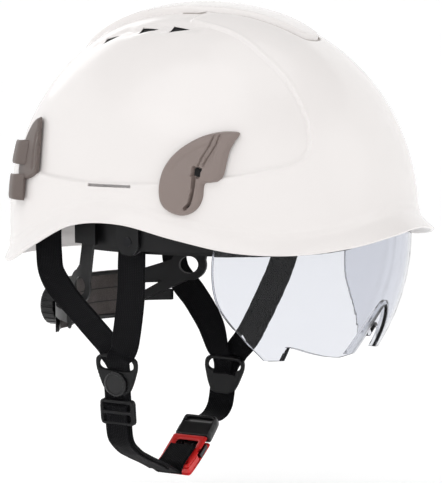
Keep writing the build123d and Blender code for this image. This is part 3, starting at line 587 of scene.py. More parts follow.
def foam(name, light, dark, cell=1400.0):
    """Knitted or flocked pad cover: fine cells and a soft colour drift."""
    made, tree, shader = links_of(name)
    place = object_place(tree)
    cells = add_node(tree, "ShaderNodeTexVoronoi", Scale=cell)
    tree.links.new(place, cells.inputs["Vector"])
    spacing = cells.outputs["Distance"]
    drift = noise(tree, place, Scale=60.0, Detail=5.0)
    share = math_node(tree, "MULTIPLY", drift, math_node(tree, "ADD", spacing, 0.5))
    colour_from(tree, shader, share, dark, light)
    bump_from(tree, shader, spacing, 0.6, 0.0002)
    shader.inputs["Roughness"].default_value = 0.9
    shader.inputs["Sheen Weight"].default_value = 0.25
    shader.inputs["Specular IOR Level"].default_value = 0.2
    return made


def metal(name, light, dark, roughness):
    made = moulded(name, light, dark, roughness, grain=2500.0, bump=0.03)
    made.node_tree.nodes["Principled BSDF"].inputs["Metallic"].default_value = 1.0
    return made


CLEAR_IOR = 1.26           # below the real plastic's, so that what is behind it stays dark


def clear(name, tint, roughness, smear):
    """Clear plastic with faint smears in its gloss."""
    made, tree, shader = links_of(name)
    place = object_place(tree)
    haze = noise(tree, place, Scale=smear, Detail=5.0, Roughness=0.6)
    gloss_from(tree, shader, haze, roughness, roughness + 0.03, 0.45, 0.8)
    colour_from(tree, shader, haze, tint, [min(1.0, c * 1.01) for c in tint])
    shader.inputs["Transmission Weight"].default_value = 1.0
    shader.inputs["IOR"].default_value = CLEAR_IOR
    return made


SHELL_WHITE = moulded("shell_white", (0.85, 0.815, 0.8), (0.83, 0.795, 0.78), 0.24, coat=0.35)
CLIP_GREY = moulded("clip_grey", (0.255, 0.203, 0.184), (0.23, 0.183, 0.166), 0.36)
# The rear clips are the same grey plastic as the front ones; this darker copy is painted shade for the shadow
# they sit in.
REAR_CLIP_PAINTED_SHADE = moulded("rear_clip_painted_shade", (0.15, 0.118, 0.105), (0.13, 0.102, 0.092), 0.42)
LENS_CLEAR = clear("lens_clear", (0.76, 0.772, 0.815), 0.015, 40.0)
TRIM_CLEAR = clear("trim_clear", (0.7, 0.71, 0.74), 0.12, 90.0)
BLACKS = (0.006, 0.006, 0.007), (0.003, 0.003, 0.0035)
ARM_BLACK = moulded("arm_black", *BLACKS, 0.42, specular=0.25)
BLACK_PLASTIC = moulded("black_plastic", *BLACKS, 0.42, specular=0.25)
GLOSS_BLACK = moulded("gloss_black", *BLACKS, 0.3, coat=0.06, specular=0.35)
STEEL = metal("steel", (0.62, 0.61, 0.6), (0.52, 0.51, 0.5), 0.28)
BLACK_STEEL = metal("black_steel", (0.03, 0.03, 0.032), (0.018, 0.018, 0.02), 0.35)
BUCKLE_RED = moulded("buckle_red", (0.72, 0.018, 0.016), (0.6, 0.012, 0.012), 0.33)
WEBBING = woven("webbing_black", (0.0035, 0.0035, 0.005), (0.0004, 0.0004, 0.0007))
CRADLE_WEAVE = woven("webbing_cradle", (0.02, 0.019, 0.021), (0.004, 0.004, 0.005), warp=1.0, weft=0.8)
BROW_FOAM = foam("brow_foam", (0.035, 0.033, 0.033), (0.012, 0.011, 0.012))
NAPE_CLOTH = foam("nape_cloth", (0.11, 0.095, 0.09), (0.045, 0.038, 0.036), cell=1100.0)
CROWN_FOAM = foam("crown_foam", (0.06, 0.058, 0.058), (0.02, 0.02, 0.021))
PIPING = moulded("piping_black", (0.02, 0.02, 0.02), (0.01, 0.01, 0.01), 0.7)

NODE_MATERIALS = {
    "visor_lens": (LENS_CLEAR, "visor_lens"),
    "visor_nose_trim": (TRIM_CLEAR, "visor_trim"),
    "visor_arm": (ARM_BLACK, "visor_arm"),
    "visor_bracket": (BLACK_PLASTIC, "visor_bracket"),
    "visor_washer": (BLACK_PLASTIC, "washer"),
    "visor_pivot_pin": (BLACK_STEEL, "steel"),
    "visor_rivets": (STEEL, "steel"),
    "bracket_screw": (BLACK_STEEL, "steel"),
    "headband": (BLACK_PLASTIC, "headband"),
    "brow_sweat_pad": (BROW_FOAM, "brow_sweat_pad"),
    "nape_pad": (NAPE_CLOTH, "nape_pad"),
    "crown_pad": (CROWN_FOAM, "crown_pad"),
    "side_arm": (BLACK_PLASTIC, "side_arm"),
    "nape_housing": (BLACK_PLASTIC, "nape_housing"),
    "ratchet_spindle": (STEEL, "steel"),
    "ratchet": (GLOSS_BLACK, "ratchet"),
    "rack_strip": (BLACK_PLASTIC, "rack_strip"),
    "harness_lug": (BLACK_PLASTIC, "harness_lug"),
    "cradle_strap": (CRADLE_WEAVE, "cradle_webbing"),
    "strap_hanger": (BLACK_PLASTIC, "strap_hanger"),
    "lamp_clip": (CLIP_GREY, "lamp_clip"),
    "shell": (SHELL_WHITE, "shell"),
    "left_divider_cap": (GLOSS_BLACK, "divider_cap"),
    "right_divider_cap": (GLOSS_BLACK, "divider_cap"),
    "left_divider": (BLACK_PLASTIC, "divider"),
    "right_divider": (BLACK_PLASTIC, "divider"),
    "right_slider": (BLACK_PLASTIC, "divider"),
    "buckle_female": (BUCKLE_RED, "buckle_red"),
    "buckle_male": (GLOSS_BLACK, "buckle_black"),
    "prong": (GLOSS_BLACK, "buckle_black"),
    "left_": (WEBBING, "chin_webbing"),
    "right_": (WEBBING, "chin_webbing"),
}


def finish_piece(piece, material):
    piece.data.materials.clear()
    piece.data.materials.append(material)


for node_name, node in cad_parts.items():
    for start, (material, slot) in NODE_MATERIALS.items():
        if node_name.startswith(start):
            finish_piece(node, material)
            break


# ---------------------------------------------------------------- shell
def place_piece(piece, body, material, slot, *nodes):
    """Gives a piece its finish, hangs it on its body and hides any nodes that it stands for."""
    finish_piece(piece, material)
    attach(piece, body)
    if nodes:
        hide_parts(*nodes)


shell_skin = make_shell()
place_piece(shell_skin, "hat", SHELL_WHITE, "shell", "shell")


# ---------------------------------------------------------------- plates that follow the dome
def fill_outline(line, step):
    """Triangles over a closed outline: its points, then a grid of points inside it."""
    low = line.min(axis=0)
    high = line.max(axis=0)
    columns = np.arange(low[0] + step / 2, high[0], step)
    rows = np.arange(low[1] + step / 2, high[1], step)
    grid = np.array([(a, b) for a in columns for b in rows])
    grid = grid[depth_in(grid, line) > step * 0.6]
    spots = np.concatenate([line, grid])
    count = len(line)
    edges = [(k, (k + 1) % count) for k in range(count)]
    found = geometry.delaunay_2d_cdt([Vector(p) for p in spots], edges, [], 1, 1e-6)
    return np.array([tuple(p) for p in found[0]]), [tuple(f) for f in found[2]]


def dome_side_x(y, z, gap):
    """X of the dome's side at (y, z), a gap outside it."""
    y = np.asarray(y, float)
    z = np.asarray(z, float)
    share = np.clip((z - MID_Z) / (RISE + gap), 0.0, 1.0)
    scale = (1.0 - share ** DOME_POWER) ** (1.0 / DOME_POWER)
    reach = np.where(y < MID_Y, REACH_FRONT, REACH_REAR) + gap
    ahead = np.clip(np.abs(y - MID_Y) / (reach * scale), 0.0, 0.9999)
    return (HALF_WIDTH + gap) * scale * (1.0 - ahead ** PLAN_POWER) ** (1.0 / PLAN_POWER)


def dome_plate(name, line, height_at, side, step=0.9, seat=0.1):
    """Plate on the dome's side with an outline in (Y, Z) and a height at each spot over its seat."""
    spots, faces = fill_outline(line, step)
    depth = np.maximum(depth_in(spots, line), 0.0)
    depth[: len(line)] = 0.0
    height = height_at(spots, depth)
    low_x = dome_side_x(spots[:, 0], spots[:, 1], seat)
    high_x = dome_side_x(spots[:, 0], spots[:, 1], seat) + np.maximum(height, 0.02)
    under = np.stack([side * low_x, spots[:, 0], spots[:, 1]], axis=-1)
    over = np.stack([side * high_x, spots[:, 0], spots[:, 1]], axis=-1)
    count = len(spots)
    all_faces = [tuple(v + count for v in face) for face in faces]
    all_faces += [tuple(reversed(face)) for face in faces]
    edge = len(line)
    for index in range(edge):
        after = (index + 1) % edge
        all_faces.append((index, after, after + count, index + count))
    return solid_piece(name, np.concatenate([under, over]), all_faces, 50.0)


def edge_round(depth, radius):
    """Share of the full height near an edge that is rounded over a radius."""
    near = np.clip(depth / radius, 0.0, 1.0)
    return np.sqrt(1.0 - (1.0 - near) ** 2)


# ---------------------------------------------------------------- lamp clips
CLIP_TALL = 3.8
FRONT_CLIP = [
    (-64.0, 72.4), (-57.5, 73.4), (-50.0, 72.6), (-42.0, 70.2), (-35.0, 66.5), (-28.8, 61.8),
    (-24.0, 56.5), (-20.4, 50.0), (-18.8, 43.0), (-18.7, 36.5), (-20.0, 30.5), (-23.0, 26.4),
    (-27.3, 23.8), (-31.6, 22.6), (-36.0, 22.6), (-40.8, 24.5), (-44.5, 28.0), (-46.7, 33.5),
    (-47.3, 41.5), (-51.0, 42.6), (-55.6, 43.6), (-58.2, 47.5), (-59.0, 54.0), (-60.0, 62.0), (-62.0, 67.4),
]
CLIP_GROOVE = [(-54.2, 71.0), (-52.2, 64.5), (-49.2, 58.5), (-46.6, 53.0)]
CLIP_GROOVE_SIDE = [(-51.0, 71.0), (-48.6, 64.5), (-45.6, 58.5), (-43.6, 53.0)]
CLIP_HOOK = [(-44.4, 45.0), (-44.2, 40.0), (-43.5, 35.0), (-42.2, 30.0), (-39.6, 26.4), (-36.2, 25.2)]
CLIP_SLIT = [(-41.8, 46.0), (-41.8, 41.0), (-41.3, 35.5), (-40.0, 30.0), (-37.6, 27.0)]
CLIP_HOLE = [(-46.0, 51.2), (-40.4, 52.2), (-39.8, 46.6), (-45.0, 45.2)]
REAR_PLATE = [
    (86.0, 78.0), (92.0, 76.6), (97.0, 70.0), (101.0, 60.0), (102.5, 50.0), (101.0, 41.0), (95.0, 38.6),
    (88.0, 39.6), (80.0, 43.2), (78.8, 46.0), (80.0, 58.0), (82.6, 70.0),
]


def band_share(spots, line, width):
    """1 along a line and 0 beyond its width, eased."""
    gap = line_distance(spots, np.asarray(line, float), closed=False)
    return ease((width - gap) / 0.7 + 0.5)


def curve_share(spots, points, width):
    """The same along a smooth curve through points."""
    return band_share(spots, smooth_loop(points, 6, False), width)


def front_clip_height(spots, depth):
    height = CLIP_TALL * edge_round(depth, 2.2)
    height -= 0.7 * ease(depth / 2.0 - 2.6) * ease((spots[:, 1] - 45.0) / 12.0)
    groove, ridge = (np.maximum(curve_share(spots, CLIP_GROOVE, width),
                                curve_share(spots, CLIP_GROOVE_SIDE, width)) for width in (0.45, 1.3))
    height += (0.45 * ridge - 1.3 * groove) * (depth > 0.8)
    hook = curve_share(spots, CLIP_HOOK, 1.0)
    height += 0.35 * hook * (depth > 1.0)
    slit = curve_share(spots, CLIP_SLIT, 0.9)
    hole = ease(depth_in(spots, np.array(CLIP_HOLE)) / 0.5 + 0.5)
    height *= 1.0 - 0.93 * np.maximum(slit, hole)
    return height


def hole_outline():
    outline = np.array(CLIP_HOLE)
    return outline.mean(axis=0) + (outline - outline.mean(axis=0)) * 0.9


def slit_outline():
    run = smooth_loop(CLIP_SLIT, 6, False)
    across = unit(np.stack([-np.gradient(run[:, 1]), np.gradient(run[:, 0])], axis=-1)) * 0.75
    return np.concatenate([run + across, (run - across)[::-1]])


def make_front_clip(side, name):
    """Clip's plate, and black floors in its hole and slit that are painted shade for their depth."""
    line = smooth_loop(FRONT_CLIP, 5)
    clip = dome_plate("lamp_clip_front_" + name + "_skin", line, front_clip_height, side, step=0.6)
    place_piece(clip, "hat", CLIP_GREY, "lamp_clip", "lamp_clip_front_" + name)
    # The black floors of the hole and the slit are painted shade: a dark sheet where the recess would only be
    # in shadow.
    for label, outline in (("hole", hole_outline()), ("slit", slit_outline())):
        outline = np.concatenate([np.linspace(a, b, 5)[:-1] for a, b in
                                  zip(outline, np.roll(outline, -1, axis=0))])
        floor = dome_plate("lamp_clip_front_" + name + "_" + label, outline,
                           lambda spots, depth: 0.32 + 0.0 * depth, side, step=0.8, seat=0.12)
        place_piece(floor, "hat", BLACK_PLASTIC, "lamp_clip")


def rear_clip_height(spots, depth):
    height = 3.6 * edge_round(depth, 1.8)
    rib = band_share(spots, [(83.5, 74.0), (84.5, 60.0), (83.0, 47.0)], 1.0)
    return height - 0.7 * rib * (depth > 1.2)


HOOK_SIDES = 24


def make_hook(side, name, label, low_z, high_z):
    """Outward C-shaped hook of a rear clip that follows the dome behind the clip's plate."""
    rows = []
    lengths = np.linspace(92.0, 109.4, 22)
    middle = (low_z + high_z) / 2.0
    half = (high_z - low_z) / 2.0
    for index, y in enumerate(lengths):
        share = index / (len(lengths) - 1.0)
        rise = 2.6 + 5.4 * math.sin(math.pi * min(share * 0.9, 0.5)) - 2.2 * max(share - 0.72, 0.0) / 0.28
        ring = []
        for corner in range(HOOK_SIDES):
            turn = 2.0 * math.pi * corner / HOOK_SIDES
            level = math.copysign(abs(math.sin(turn)) ** 0.35, math.sin(turn))
            z = middle + half * level * (1.0 - 0.12 * share)
            thick = 1.35 * math.copysign(abs(math.cos(turn)) ** 0.5, math.cos(turn))
            gap = min(max(rise + thick, 0.15), 9.4)
            x = float(dome_side_x(y, z, 0.0)) + gap
            ring.append((side * x, y, z))
        rows.append(ring)
    vertices = [p for ring in rows for p in ring]
    faces = ring_faces(len(rows), HOOK_SIDES) + end_faces(len(rows), HOOK_SIDES)
    hook = solid_piece("lamp_clip_rear_" + name + "_" + label, vertices, faces, 50.0)
    place_piece(hook, "hat", REAR_CLIP_PAINTED_SHADE, "lamp_clip")


def make_rear_clip(side, name):
    line = smooth_loop(REAR_PLATE, 5)
    plate = dome_plate("lamp_clip_rear_" + name + "_skin", line, rear_clip_height, side, step=0.8)
    place_piece(plate, "hat", REAR_CLIP_PAINTED_SHADE, "lamp_clip", "lamp_clip_rear_" + name)
    make_hook(side, name, "hook_low", 25.4, 42.6)
    make_hook(side, name, "hook_high", 48.0, 64.0)


for side, name in ((-1, "right"), (1, "left")):
    make_front_clip(side, name)
    make_rear_clip(side, name)


# ---------------------------------------------------------------- webbing
ALONG_Y = np.array([0.0, 1.0, 0.0])
RIBBON_ACROSS = [-1.0, -0.975, -0.9, -0.82, -0.45, 0.0, 0.45, 0.82, 0.9, 0.975, 1.0]
RIBBON_RISE = [0.0, 0.75, 1.08, 0.86, 0.98, 1.0, 0.98, 0.86, 1.08, 0.75, 0.0]


def ribbon(name, stations, width, thick, slot="chin_webbing", body="hat", nodes=(), offset=0.0,
           end_width=None, waver=0.15):
    """Flat strap with thick selvedges; its width can change to an end width along its last part."""
    path = smooth_loop(stations, 10, closed=False)
    along = unit(np.gradient(path, axis=0))
    wide = unit(ALONG_Y - along * (along @ ALONG_Y)[:, None])
    deep = np.cross(wide, along)
    outwards = np.sign(np.sum(deep[:, :1] * path[:, :1])) or 1.0
    deep *= outwards
    run = run_lengths(path)
    share = run / run[-1]
    widths = np.full(len(path), width)
    if end_width:
        widths = width + (end_width - width) * ease((share - 0.72) / 0.26)
    bend = waver * np.sin(run / 9.0 + len(name))
    vertices = []
    uv = []
    ring_size = 2 * len(RIBBON_ACROSS) - 2
    for index in range(len(path)):
        half = widths[index] / 2.0
        centre = path[index] + deep[index] * (offset + bend[index])
        top = [(a, r) for a, r in zip(RIBBON_ACROSS, RIBBON_RISE)]
        low = [(a, -r) for a, r in zip(RIBBON_ACROSS[-2:0:-1], RIBBON_RISE[-2:0:-1])]
        for a, r in top + low:
            vertices.append(centre + wide[index] * (a * half) + deep[index] * (r * thick / 2.0))
            uv.append((run[index], a * half))
    faces = ring_faces(len(path), ring_size)
    faces.append(tuple(range(ring_size)))
    last = (len(path) - 1) * ring_size
    faces.append(tuple(last + k for k in range(ring_size - 1, -1, -1)))
    piece = new_object(name, vertices, faces, uv=uv)
    face_outwards(piece, weld=False)
    smooth_by_angle(piece, 60.0)
    place_piece(piece, body, WEBBING, slot, *nodes)


RIGHT_FRONT = [(-86.0, 11.5, -0.8), (-85.5, 12.0, -10.0), (-79.5, 16.5, -31.0), (-71.0, 25.0, -57.0),
               (-67.6, 30.0, -69.5), (-68.4, 33.2, -75.5), (-66.2, 34.4, -81.0), (-63.2, 34.8, -85.5)]
RIGHT_REAR = [(-76.0, 81.5, 4.6), (-76.0, 81.0, -8.0), (-75.7, 79.0, -22.0), (-74.8, 69.0, -36.0),
              (-69.5, 55.0, -53.0), (-65.0, 42.8, -68.0), (-66.4, 39.2, -74.8), (-65.0, 37.6, -80.6),
              (-62.4, 37.0, -85.2)]
LEFT_FRONT = [(86.0, -9.0, 1.0), (85.5, -7.5, -10.0), (81.5, -1.0, -35.0), (71.5, 14.0, -73.0),
              (68.2, 23.4, -87.4), (68.8, 27.6, -93.4), (66.2, 29.4, -99.4), (63.2, 30.2, -104.0)]
LEFT_REAR = [(76.0, 81.5, 4.6), (77.0, 81.0, -12.0), (77.5, 77.5, -36.0), (73.0, 60.0, -53.0),
             (68.0, 45.0, -70.0), (65.4, 37.4, -85.8), (66.6, 34.4, -92.6), (65.2, 32.8, -99.0),
             (62.4, 32.4, -103.6)]
RIGHT_DIVIDER_TOP = (-66.3, 36.0, -73.0)
RIGHT_DIVIDER_LOW = (-63.9, 36.5, -99.5)
LEFT_DIVIDER_TOP = (66.3, 31.5, -91.5)
LEFT_DIVIDER_LOW = (62.9, 32.5, -118.0)
RIGHT_LOWER = [(-64.4, 36.7, -95.5), (-63.4, 36.8, -103.0), (-61.3, 36.8, -127.0), (-53.0, 36.3, -136.5),
               (-42.0, 35.8, -142.5), (-29.0, 35.0, -148.5), (-17.0, 34.2, -154.5), (-5.6, 33.4, -160.8)]
LEFT_LOWER = [(63.4, 32.4, -114.0), (62.2, 32.6, -120.5), (60.0, 32.8, -126.0), (54.5, 33.0, -130.5),
              (46.0, 33.0, -132.5), (40.6, 33.0, -132.0)]
RIGHT_TAIL = [(-63.0, 36.8, -106.5), (-61.3, 36.8, -127.0), (-53.0, 36.3, -136.5), (-42.0, 35.8, -142.5),
              (-29.0, 35.0, -148.5), (-17.0, 34.4, -154.5)]


STRAP_WIDTH = 20.0
STRAP_THICK = 1.6


def make_webbing():
    for name, stations, body, end_width in (("right_front", RIGHT_FRONT, "right_strap", 16.0),
                                            ("right_rear", RIGHT_REAR, "right_strap", 14.0),
                                            ("left_front", LEFT_FRONT, "hat", 16.0),
                                            ("left_rear", LEFT_REAR, "hat", 14.0)):
        ribbon(name + "_webbing", stations, STRAP_WIDTH, STRAP_THICK, body=body,
               nodes=[name + "_strap"], end_width=end_width)
    ribbon("right_lower_webbing", RIGHT_LOWER, STRAP_WIDTH, STRAP_THICK, body="right_strap",
           nodes=["right_lower_strap"], waver=0.08)
    ribbon("right_lower_tail", RIGHT_TAIL, 16.0, 1.4, body="right_strap", offset=1.65, waver=0.08)
    ribbon("left_lower_webbing", LEFT_LOWER, STRAP_WIDTH, STRAP_THICK, nodes=["left_lower_strap"], waver=0.05)
    for side, label, front_y in ((-1, "right", 11.5), (1, "left", -9.0)):
        for end, y, rise in (("front", front_y, ((86.0, 1.2), (86.0, 14.0), (84.5, 30.0))),
                             ("rear", 81.5, ((76.0, 5.0), (76.0, 16.0), (78.0, 28.0)))):
            ribbon("hanger_" + end + "_" + label + "_webbing", [(side * x, y, z) for x, z in rise],
                   STRAP_WIDTH, 2.2, slot="strap_hanger", nodes=["strap_hanger_" + end + "_" + label],
                   waver=0.0)


make_webbing()


# ---------------------------------------------------------------- flat moulded fittings
def rounded(points, radius, steps=6):
    """Outline with its corners rounded."""
    points = np.asarray(points, float)
    out = []
    for index, corner in enumerate(points):
        before = points[index - 1] - corner
        after = points[(index + 1) % len(points)] - corner
        reach = min(radius, 0.48 * np.linalg.norm(before), 0.48 * np.linalg.norm(after))
        a = corner + before / np.linalg.norm(before) * reach
        b = corner + after / np.linalg.norm(after) * reach
        for step in range(steps + 1):
            t = step / steps
            out.append((1 - t) ** 2 * a + 2 * t * (1 - t) * corner + t * t * b)
    return np.array(out)


def even_outline(half, radius):
    """Rounded outline that is even about v = 0, from its half on the low side."""
    return rounded(list(half) + [(u, -v) for u, v in reversed(half)], radius)


def resampled(line, step):
    """Closed line with points about a step apart."""
    closed = np.concatenate([line, line[:1]])
    lengths = run_lengths(closed)
    count = max(8, int(round(lengths[-1] / step)))
    places = np.linspace(0.0, lengths[-1], count, endpoint=False)
    return np.stack([np.interp(places, lengths, closed[:, k]) for k in (0, 1)], axis=-1)


def flat_plate(name, mapper, outline, holes, low, high, radius=0.9, step=0.8):
    """Plate with rounded edges between two levels; mapper turns (u, v, level) into a point."""
    loops = [resampled(np.asarray(loop, float), step) for loop in [outline] + list(holes)]
    corner = loops[0].min(axis=0)
    far = loops[0].max(axis=0)
    grid = np.array([(a, b) for a in np.arange(corner[0] + step / 2, far[0], step)
                     for b in np.arange(corner[1] + step / 2, far[1], step)])

    def depth_at(spots):
        depth = depth_in(spots, loops[0])
        for hole in loops[1:]:
            depth = np.minimum(depth, -depth_in(spots, hole))
        return depth

    grid = grid[depth_at(grid) > step * 0.5]
    spots = np.concatenate(loops + [grid])
    edges = []
    start = 0
    for loop in loops:
        edges += [(start + k, start + (k + 1) % len(loop)) for k in range(len(loop))]
        start += len(loop)
    border = start
    found = geometry.delaunay_2d_cdt([Vector(p) for p in spots], edges, [], 0, 1e-6)
    spots = np.array([tuple(p) for p in found[0]])
    faces = [tuple(f) for f in found[2]]
    centres = np.array([spots[list(f)].mean(axis=0) for f in faces])
    keep = depth_at(centres) > 0
    faces = [f for f, wanted in zip(faces, keep) if wanted]
    depth = np.maximum(depth_at(spots), 0.0)
    depth[:border] = 0.0
    middle = (low + high) / 2.0
    half = (high - low) / 2.0
    rise = edge_round(depth, radius)
    straight = max(0.0, 1.0 - radius / half)
    reach = half * (straight + (1 - straight) * rise)
    top = middle + reach
    bottom = middle - reach
    over = np.array([mapper(u, v, w) for (u, v), w in zip(spots, top)])
    under = np.array([mapper(u, v, w) for (u, v), w in zip(spots, bottom)])
    count = len(spots)
    all_faces = faces + [tuple(v + count for v in reversed(f)) for f in faces]
    start = 0
    for loop in loops:
        size = len(loop)
        for k in range(size):
            a, b = start + k, start + (k + 1) % size
            all_faces.append((a, b, b + count, a + count))
        start += size
    return solid_piece(name, np.concatenate([over, under]), all_faces, 48.0)


def plane_mapper(origin, down, out):
    """Maps u down, v across and the level outwards from an origin."""
    origin = np.asarray(origin, float)
    down = np.asarray(down, float) / np.linalg.norm(down)
    out = np.asarray(out, float) - down * np.dot(out, down)
    out /= np.linalg.norm(out)
    across = np.cross(out, down)
    return lambda u, v, w: origin + down * u + across * v + out * w


def lathe(name, origin, axis, profile, ribs, rib_depth, turns):
    """Turned piece: radii and heights along an axis, with shallow ribs round its outside."""
    axis = np.asarray(axis, float) / np.linalg.norm(axis)
    helper = np.array([0.0, 0.0, 1.0]) if abs(axis[2]) < 0.9 else np.array([1.0, 0.0, 0.0])
    side = np.cross(axis, helper)
    side /= np.linalg.norm(side)
    other = np.cross(axis, side)
    vertices = []
    for radius, height, ribbed in profile:
        for index in range(turns):
            turn = 2.0 * math.pi * index / turns
            here = radius - (rib_depth * (0.5 + 0.5 * math.cos(ribs * turn)) if ribbed else 0.0)
            vertices.append(np.asarray(origin) + side * (here * math.cos(turn))
                            + other * (here * math.sin(turn)) + axis * height)
    faces = ring_faces(len(profile), turns) + end_faces(len(profile), turns)
    return solid_piece(name, vertices, faces, 40.0)


def middle_frame(top, low):
    """Middle of a fitting, its way down and its way outwards."""
    top, low = np.asarray(top), np.asarray(low)
    down = (low - top) / np.linalg.norm(low - top)
    out = np.cross([0.0, 1.0, 0.0], down)
    if out[0] * (top[0] + low[0]) < 0:
        out = -out
    return (top + low) / 2.0, down, out / np.linalg.norm(out)


CAP_PROFILE = [            # radius, height and whether it is ribbed
    (8.1, 0.0, False), (8.25, 0.4, True), (8.25, 1.7, True), (7.7, 2.25, True), (7.1, 2.45, False),
    (6.5, 2.45, False), (6.2, 2.05, False), (4.0, 2.2, False), (0.6, 2.3, False),
]


def make_divider(top, low, label, body):
    middle, down, out = middle_frame(top, low)
    mapper = plane_mapper(middle, down, out)
    outline = even_outline([(-13.4, -11.0), (-10.5, -15.8), (-5.0, -15.9), (6.0, -12.2), (13.4, -8.0)], 4.0)
    window = even_outline([(-10.2, -11.2), (-7.2, -13.0), (-4.8, -12.6), (-3.4, -9.8)], 1.6)
    plate = flat_plate(label + "_divider_plate", mapper, outline, [window], -1.5, 1.5, radius=1.1)
    place_piece(plate, body, BLACK_PLASTIC, "divider", label + "_divider")
    seat = middle + down * 5.7 + out * 1.4
    cap = lathe(label + "_divider_button", seat, out, CAP_PROFILE, ribs=24, rib_depth=0.25, turns=144)
    place_piece(cap, body, GLOSS_BLACK, "divider_cap", label + "_divider_cap")


make_divider(RIGHT_DIVIDER_TOP, RIGHT_DIVIDER_LOW, "right", "right_strap")
make_divider(LEFT_DIVIDER_TOP, LEFT_DIVIDER_LOW, "left", "hat")


def make_slider():
    top = np.array((-63.8, 36.8, -101.0))
    low = np.array((-61.3, 36.8, -127.0))
    _, down, out = middle_frame(top, low)
    mapper = plane_mapper(top + down * 9.8, down, out)
    outline = even_outline([(-8.4, -12.7), (8.4, -12.7)], 3.2)
    upper, lower, whole = (even_outline([(start, -10.3), (end, -10.3)], 0.8) for start, end in
                           ((-5.9, -1.5), (1.5, 5.9), (-5.9, 5.9)))
    ladder = flat_plate("right_slider_frame", mapper, outline, [upper, lower], 0.6, 2.8, radius=1.0)
    place_piece(ladder, "slider", BLACK_PLASTIC, "divider", "right_slider")
    back = flat_plate("right_slider_back", mapper, outline, [whole], -1.9, 0.6)
    place_piece(back, "slider", BLACK_PLASTIC, "divider")


make_slider()


# ---------------------------------------------------------------- buckle
SWING_X = -86.0
BUCKLE_Y = 33.0
BUCKLE_R = 180.0
SOCKET_FROM = 27.5
SOCKET_TO = 37.5
BUCKLE_TO = 43.5


def buckle_mapper(u, v, w):
    """u along the buckle from its closed end, v along Y and w outwards, following the strap's swing."""
    turn = math.radians(SOCKET_FROM) + u / BUCKLE_R
    radius = BUCKLE_R + w
    return np.array((SWING_X + radius * math.sin(turn), BUCKLE_Y + v, -radius * math.cos(turn)))


def make_buckle():
    length = math.radians(SOCKET_TO - SOCKET_FROM) * BUCKLE_R
    outline = even_outline([(0.0, -12.6), (length, -13.5)], 2.6)
    window = even_outline([(9.0, -7.6), (27.0, -8.6)], 2.4)
    bar_slot = even_outline([(2.7, -10.6), (5.6, -10.6)], 0.9)
    outer = flat_plate("buckle_socket_outer", buckle_mapper, outline, [bar_slot], 1.95, 4.45, radius=1.4)
    place_piece(outer, "right_strap", BUCKLE_RED, "buckle_red", "buckle_female")
    inner = flat_plate("buckle_socket_inner", buckle_mapper, outline, [window, bar_slot], -4.45, -1.95,
                       radius=1.4)
    core_outline = even_outline([(0.6, -12.4), (15.2, -12.9), (15.2, -10.2), (7.8, -10.0)], 0.5)
    core = flat_plate("buckle_socket_core", buckle_mapper, core_outline, [bar_slot], -2.0, 2.0, radius=0.2)
    for piece in (inner, core):
        place_piece(piece, "right_strap", BUCKLE_RED, "buckle_red")
    loop = [buckle_mapper(u, 0.0, w) for u, w in ((-5.0, -1.6), (-2.2, -3.6), (1.5, -5.1), (6.0, -5.5),
                                                  (12.0, -5.5), (20.0, -5.3))]
    ribbon("right_lower_loop", loop, STRAP_WIDTH, 1.5, body="right_strap", waver=0.0)
    male_from = length + 0.45
    male_to = math.radians(BUCKLE_TO - SOCKET_FROM) * BUCKLE_R
    base_outline = even_outline([(male_from, -13.3), (male_to - 3.0, -13.0), (male_to, -11.6)], 1.8)
    base_slot = even_outline([(male_to - 5.9, -10.5), (male_to - 3.0, -10.5)], 0.9)
    base = flat_plate("buckle_plug_base", buckle_mapper, base_outline, [base_slot], -3.9, 3.9, radius=1.6)
    place_piece(base, "hat", GLOSS_BLACK, "buckle_black", "buckle_male")
    tongue_outline = even_outline([(10.6, -1.9), (22.0, -1.9), (27.0, -4.4), (male_from + 1.0, -4.6)], 1.2)
    tongue = flat_plate("buckle_plug_tongue", buckle_mapper, tongue_outline, [], -1.5, 1.5, radius=0.6)
    place_piece(tongue, "hat", GLOSS_BLACK, "buckle_black")


make_buckle()


# ---------------------------------------------------------------- pads
CLOTH_FRAMES = 20
HELD_EDGE = 0.0022         # m of a pad's top and bottom that its seam holds


def even_copy(node, name, voxel):
    """Copy of a node of the design with its surface in even cells."""
    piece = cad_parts[node].copy()
    piece.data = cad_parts[node].data.copy()
    piece.name = name
    for key in list(piece.keys()):
        del piece[key]
    piece.parent = None
    bpy.context.scene.collection.objects.link(piece)
    weld = bmesh.new()
    weld.from_mesh(piece.data)
    bmesh.ops.remove_doubles(weld, verts=weld.verts, dist=1e-5)
    weld.to_mesh(piece.data)
    weld.free()
    even = piece.modifiers.new("even", "REMESH")
    even.mode = "VOXEL"
    even.voxel_size = voxel * MM
    soften = piece.modifiers.new("soften", "SMOOTH")
    soften.factor = 0.5
    soften.iterations = 4
    apply_modifiers(piece)
    return piece


def vertex_places(piece):
    places = np.zeros(len(piece.data.vertices) * 3)
    piece.data.vertices.foreach_get("co", places)
    return places.reshape(-1, 3)


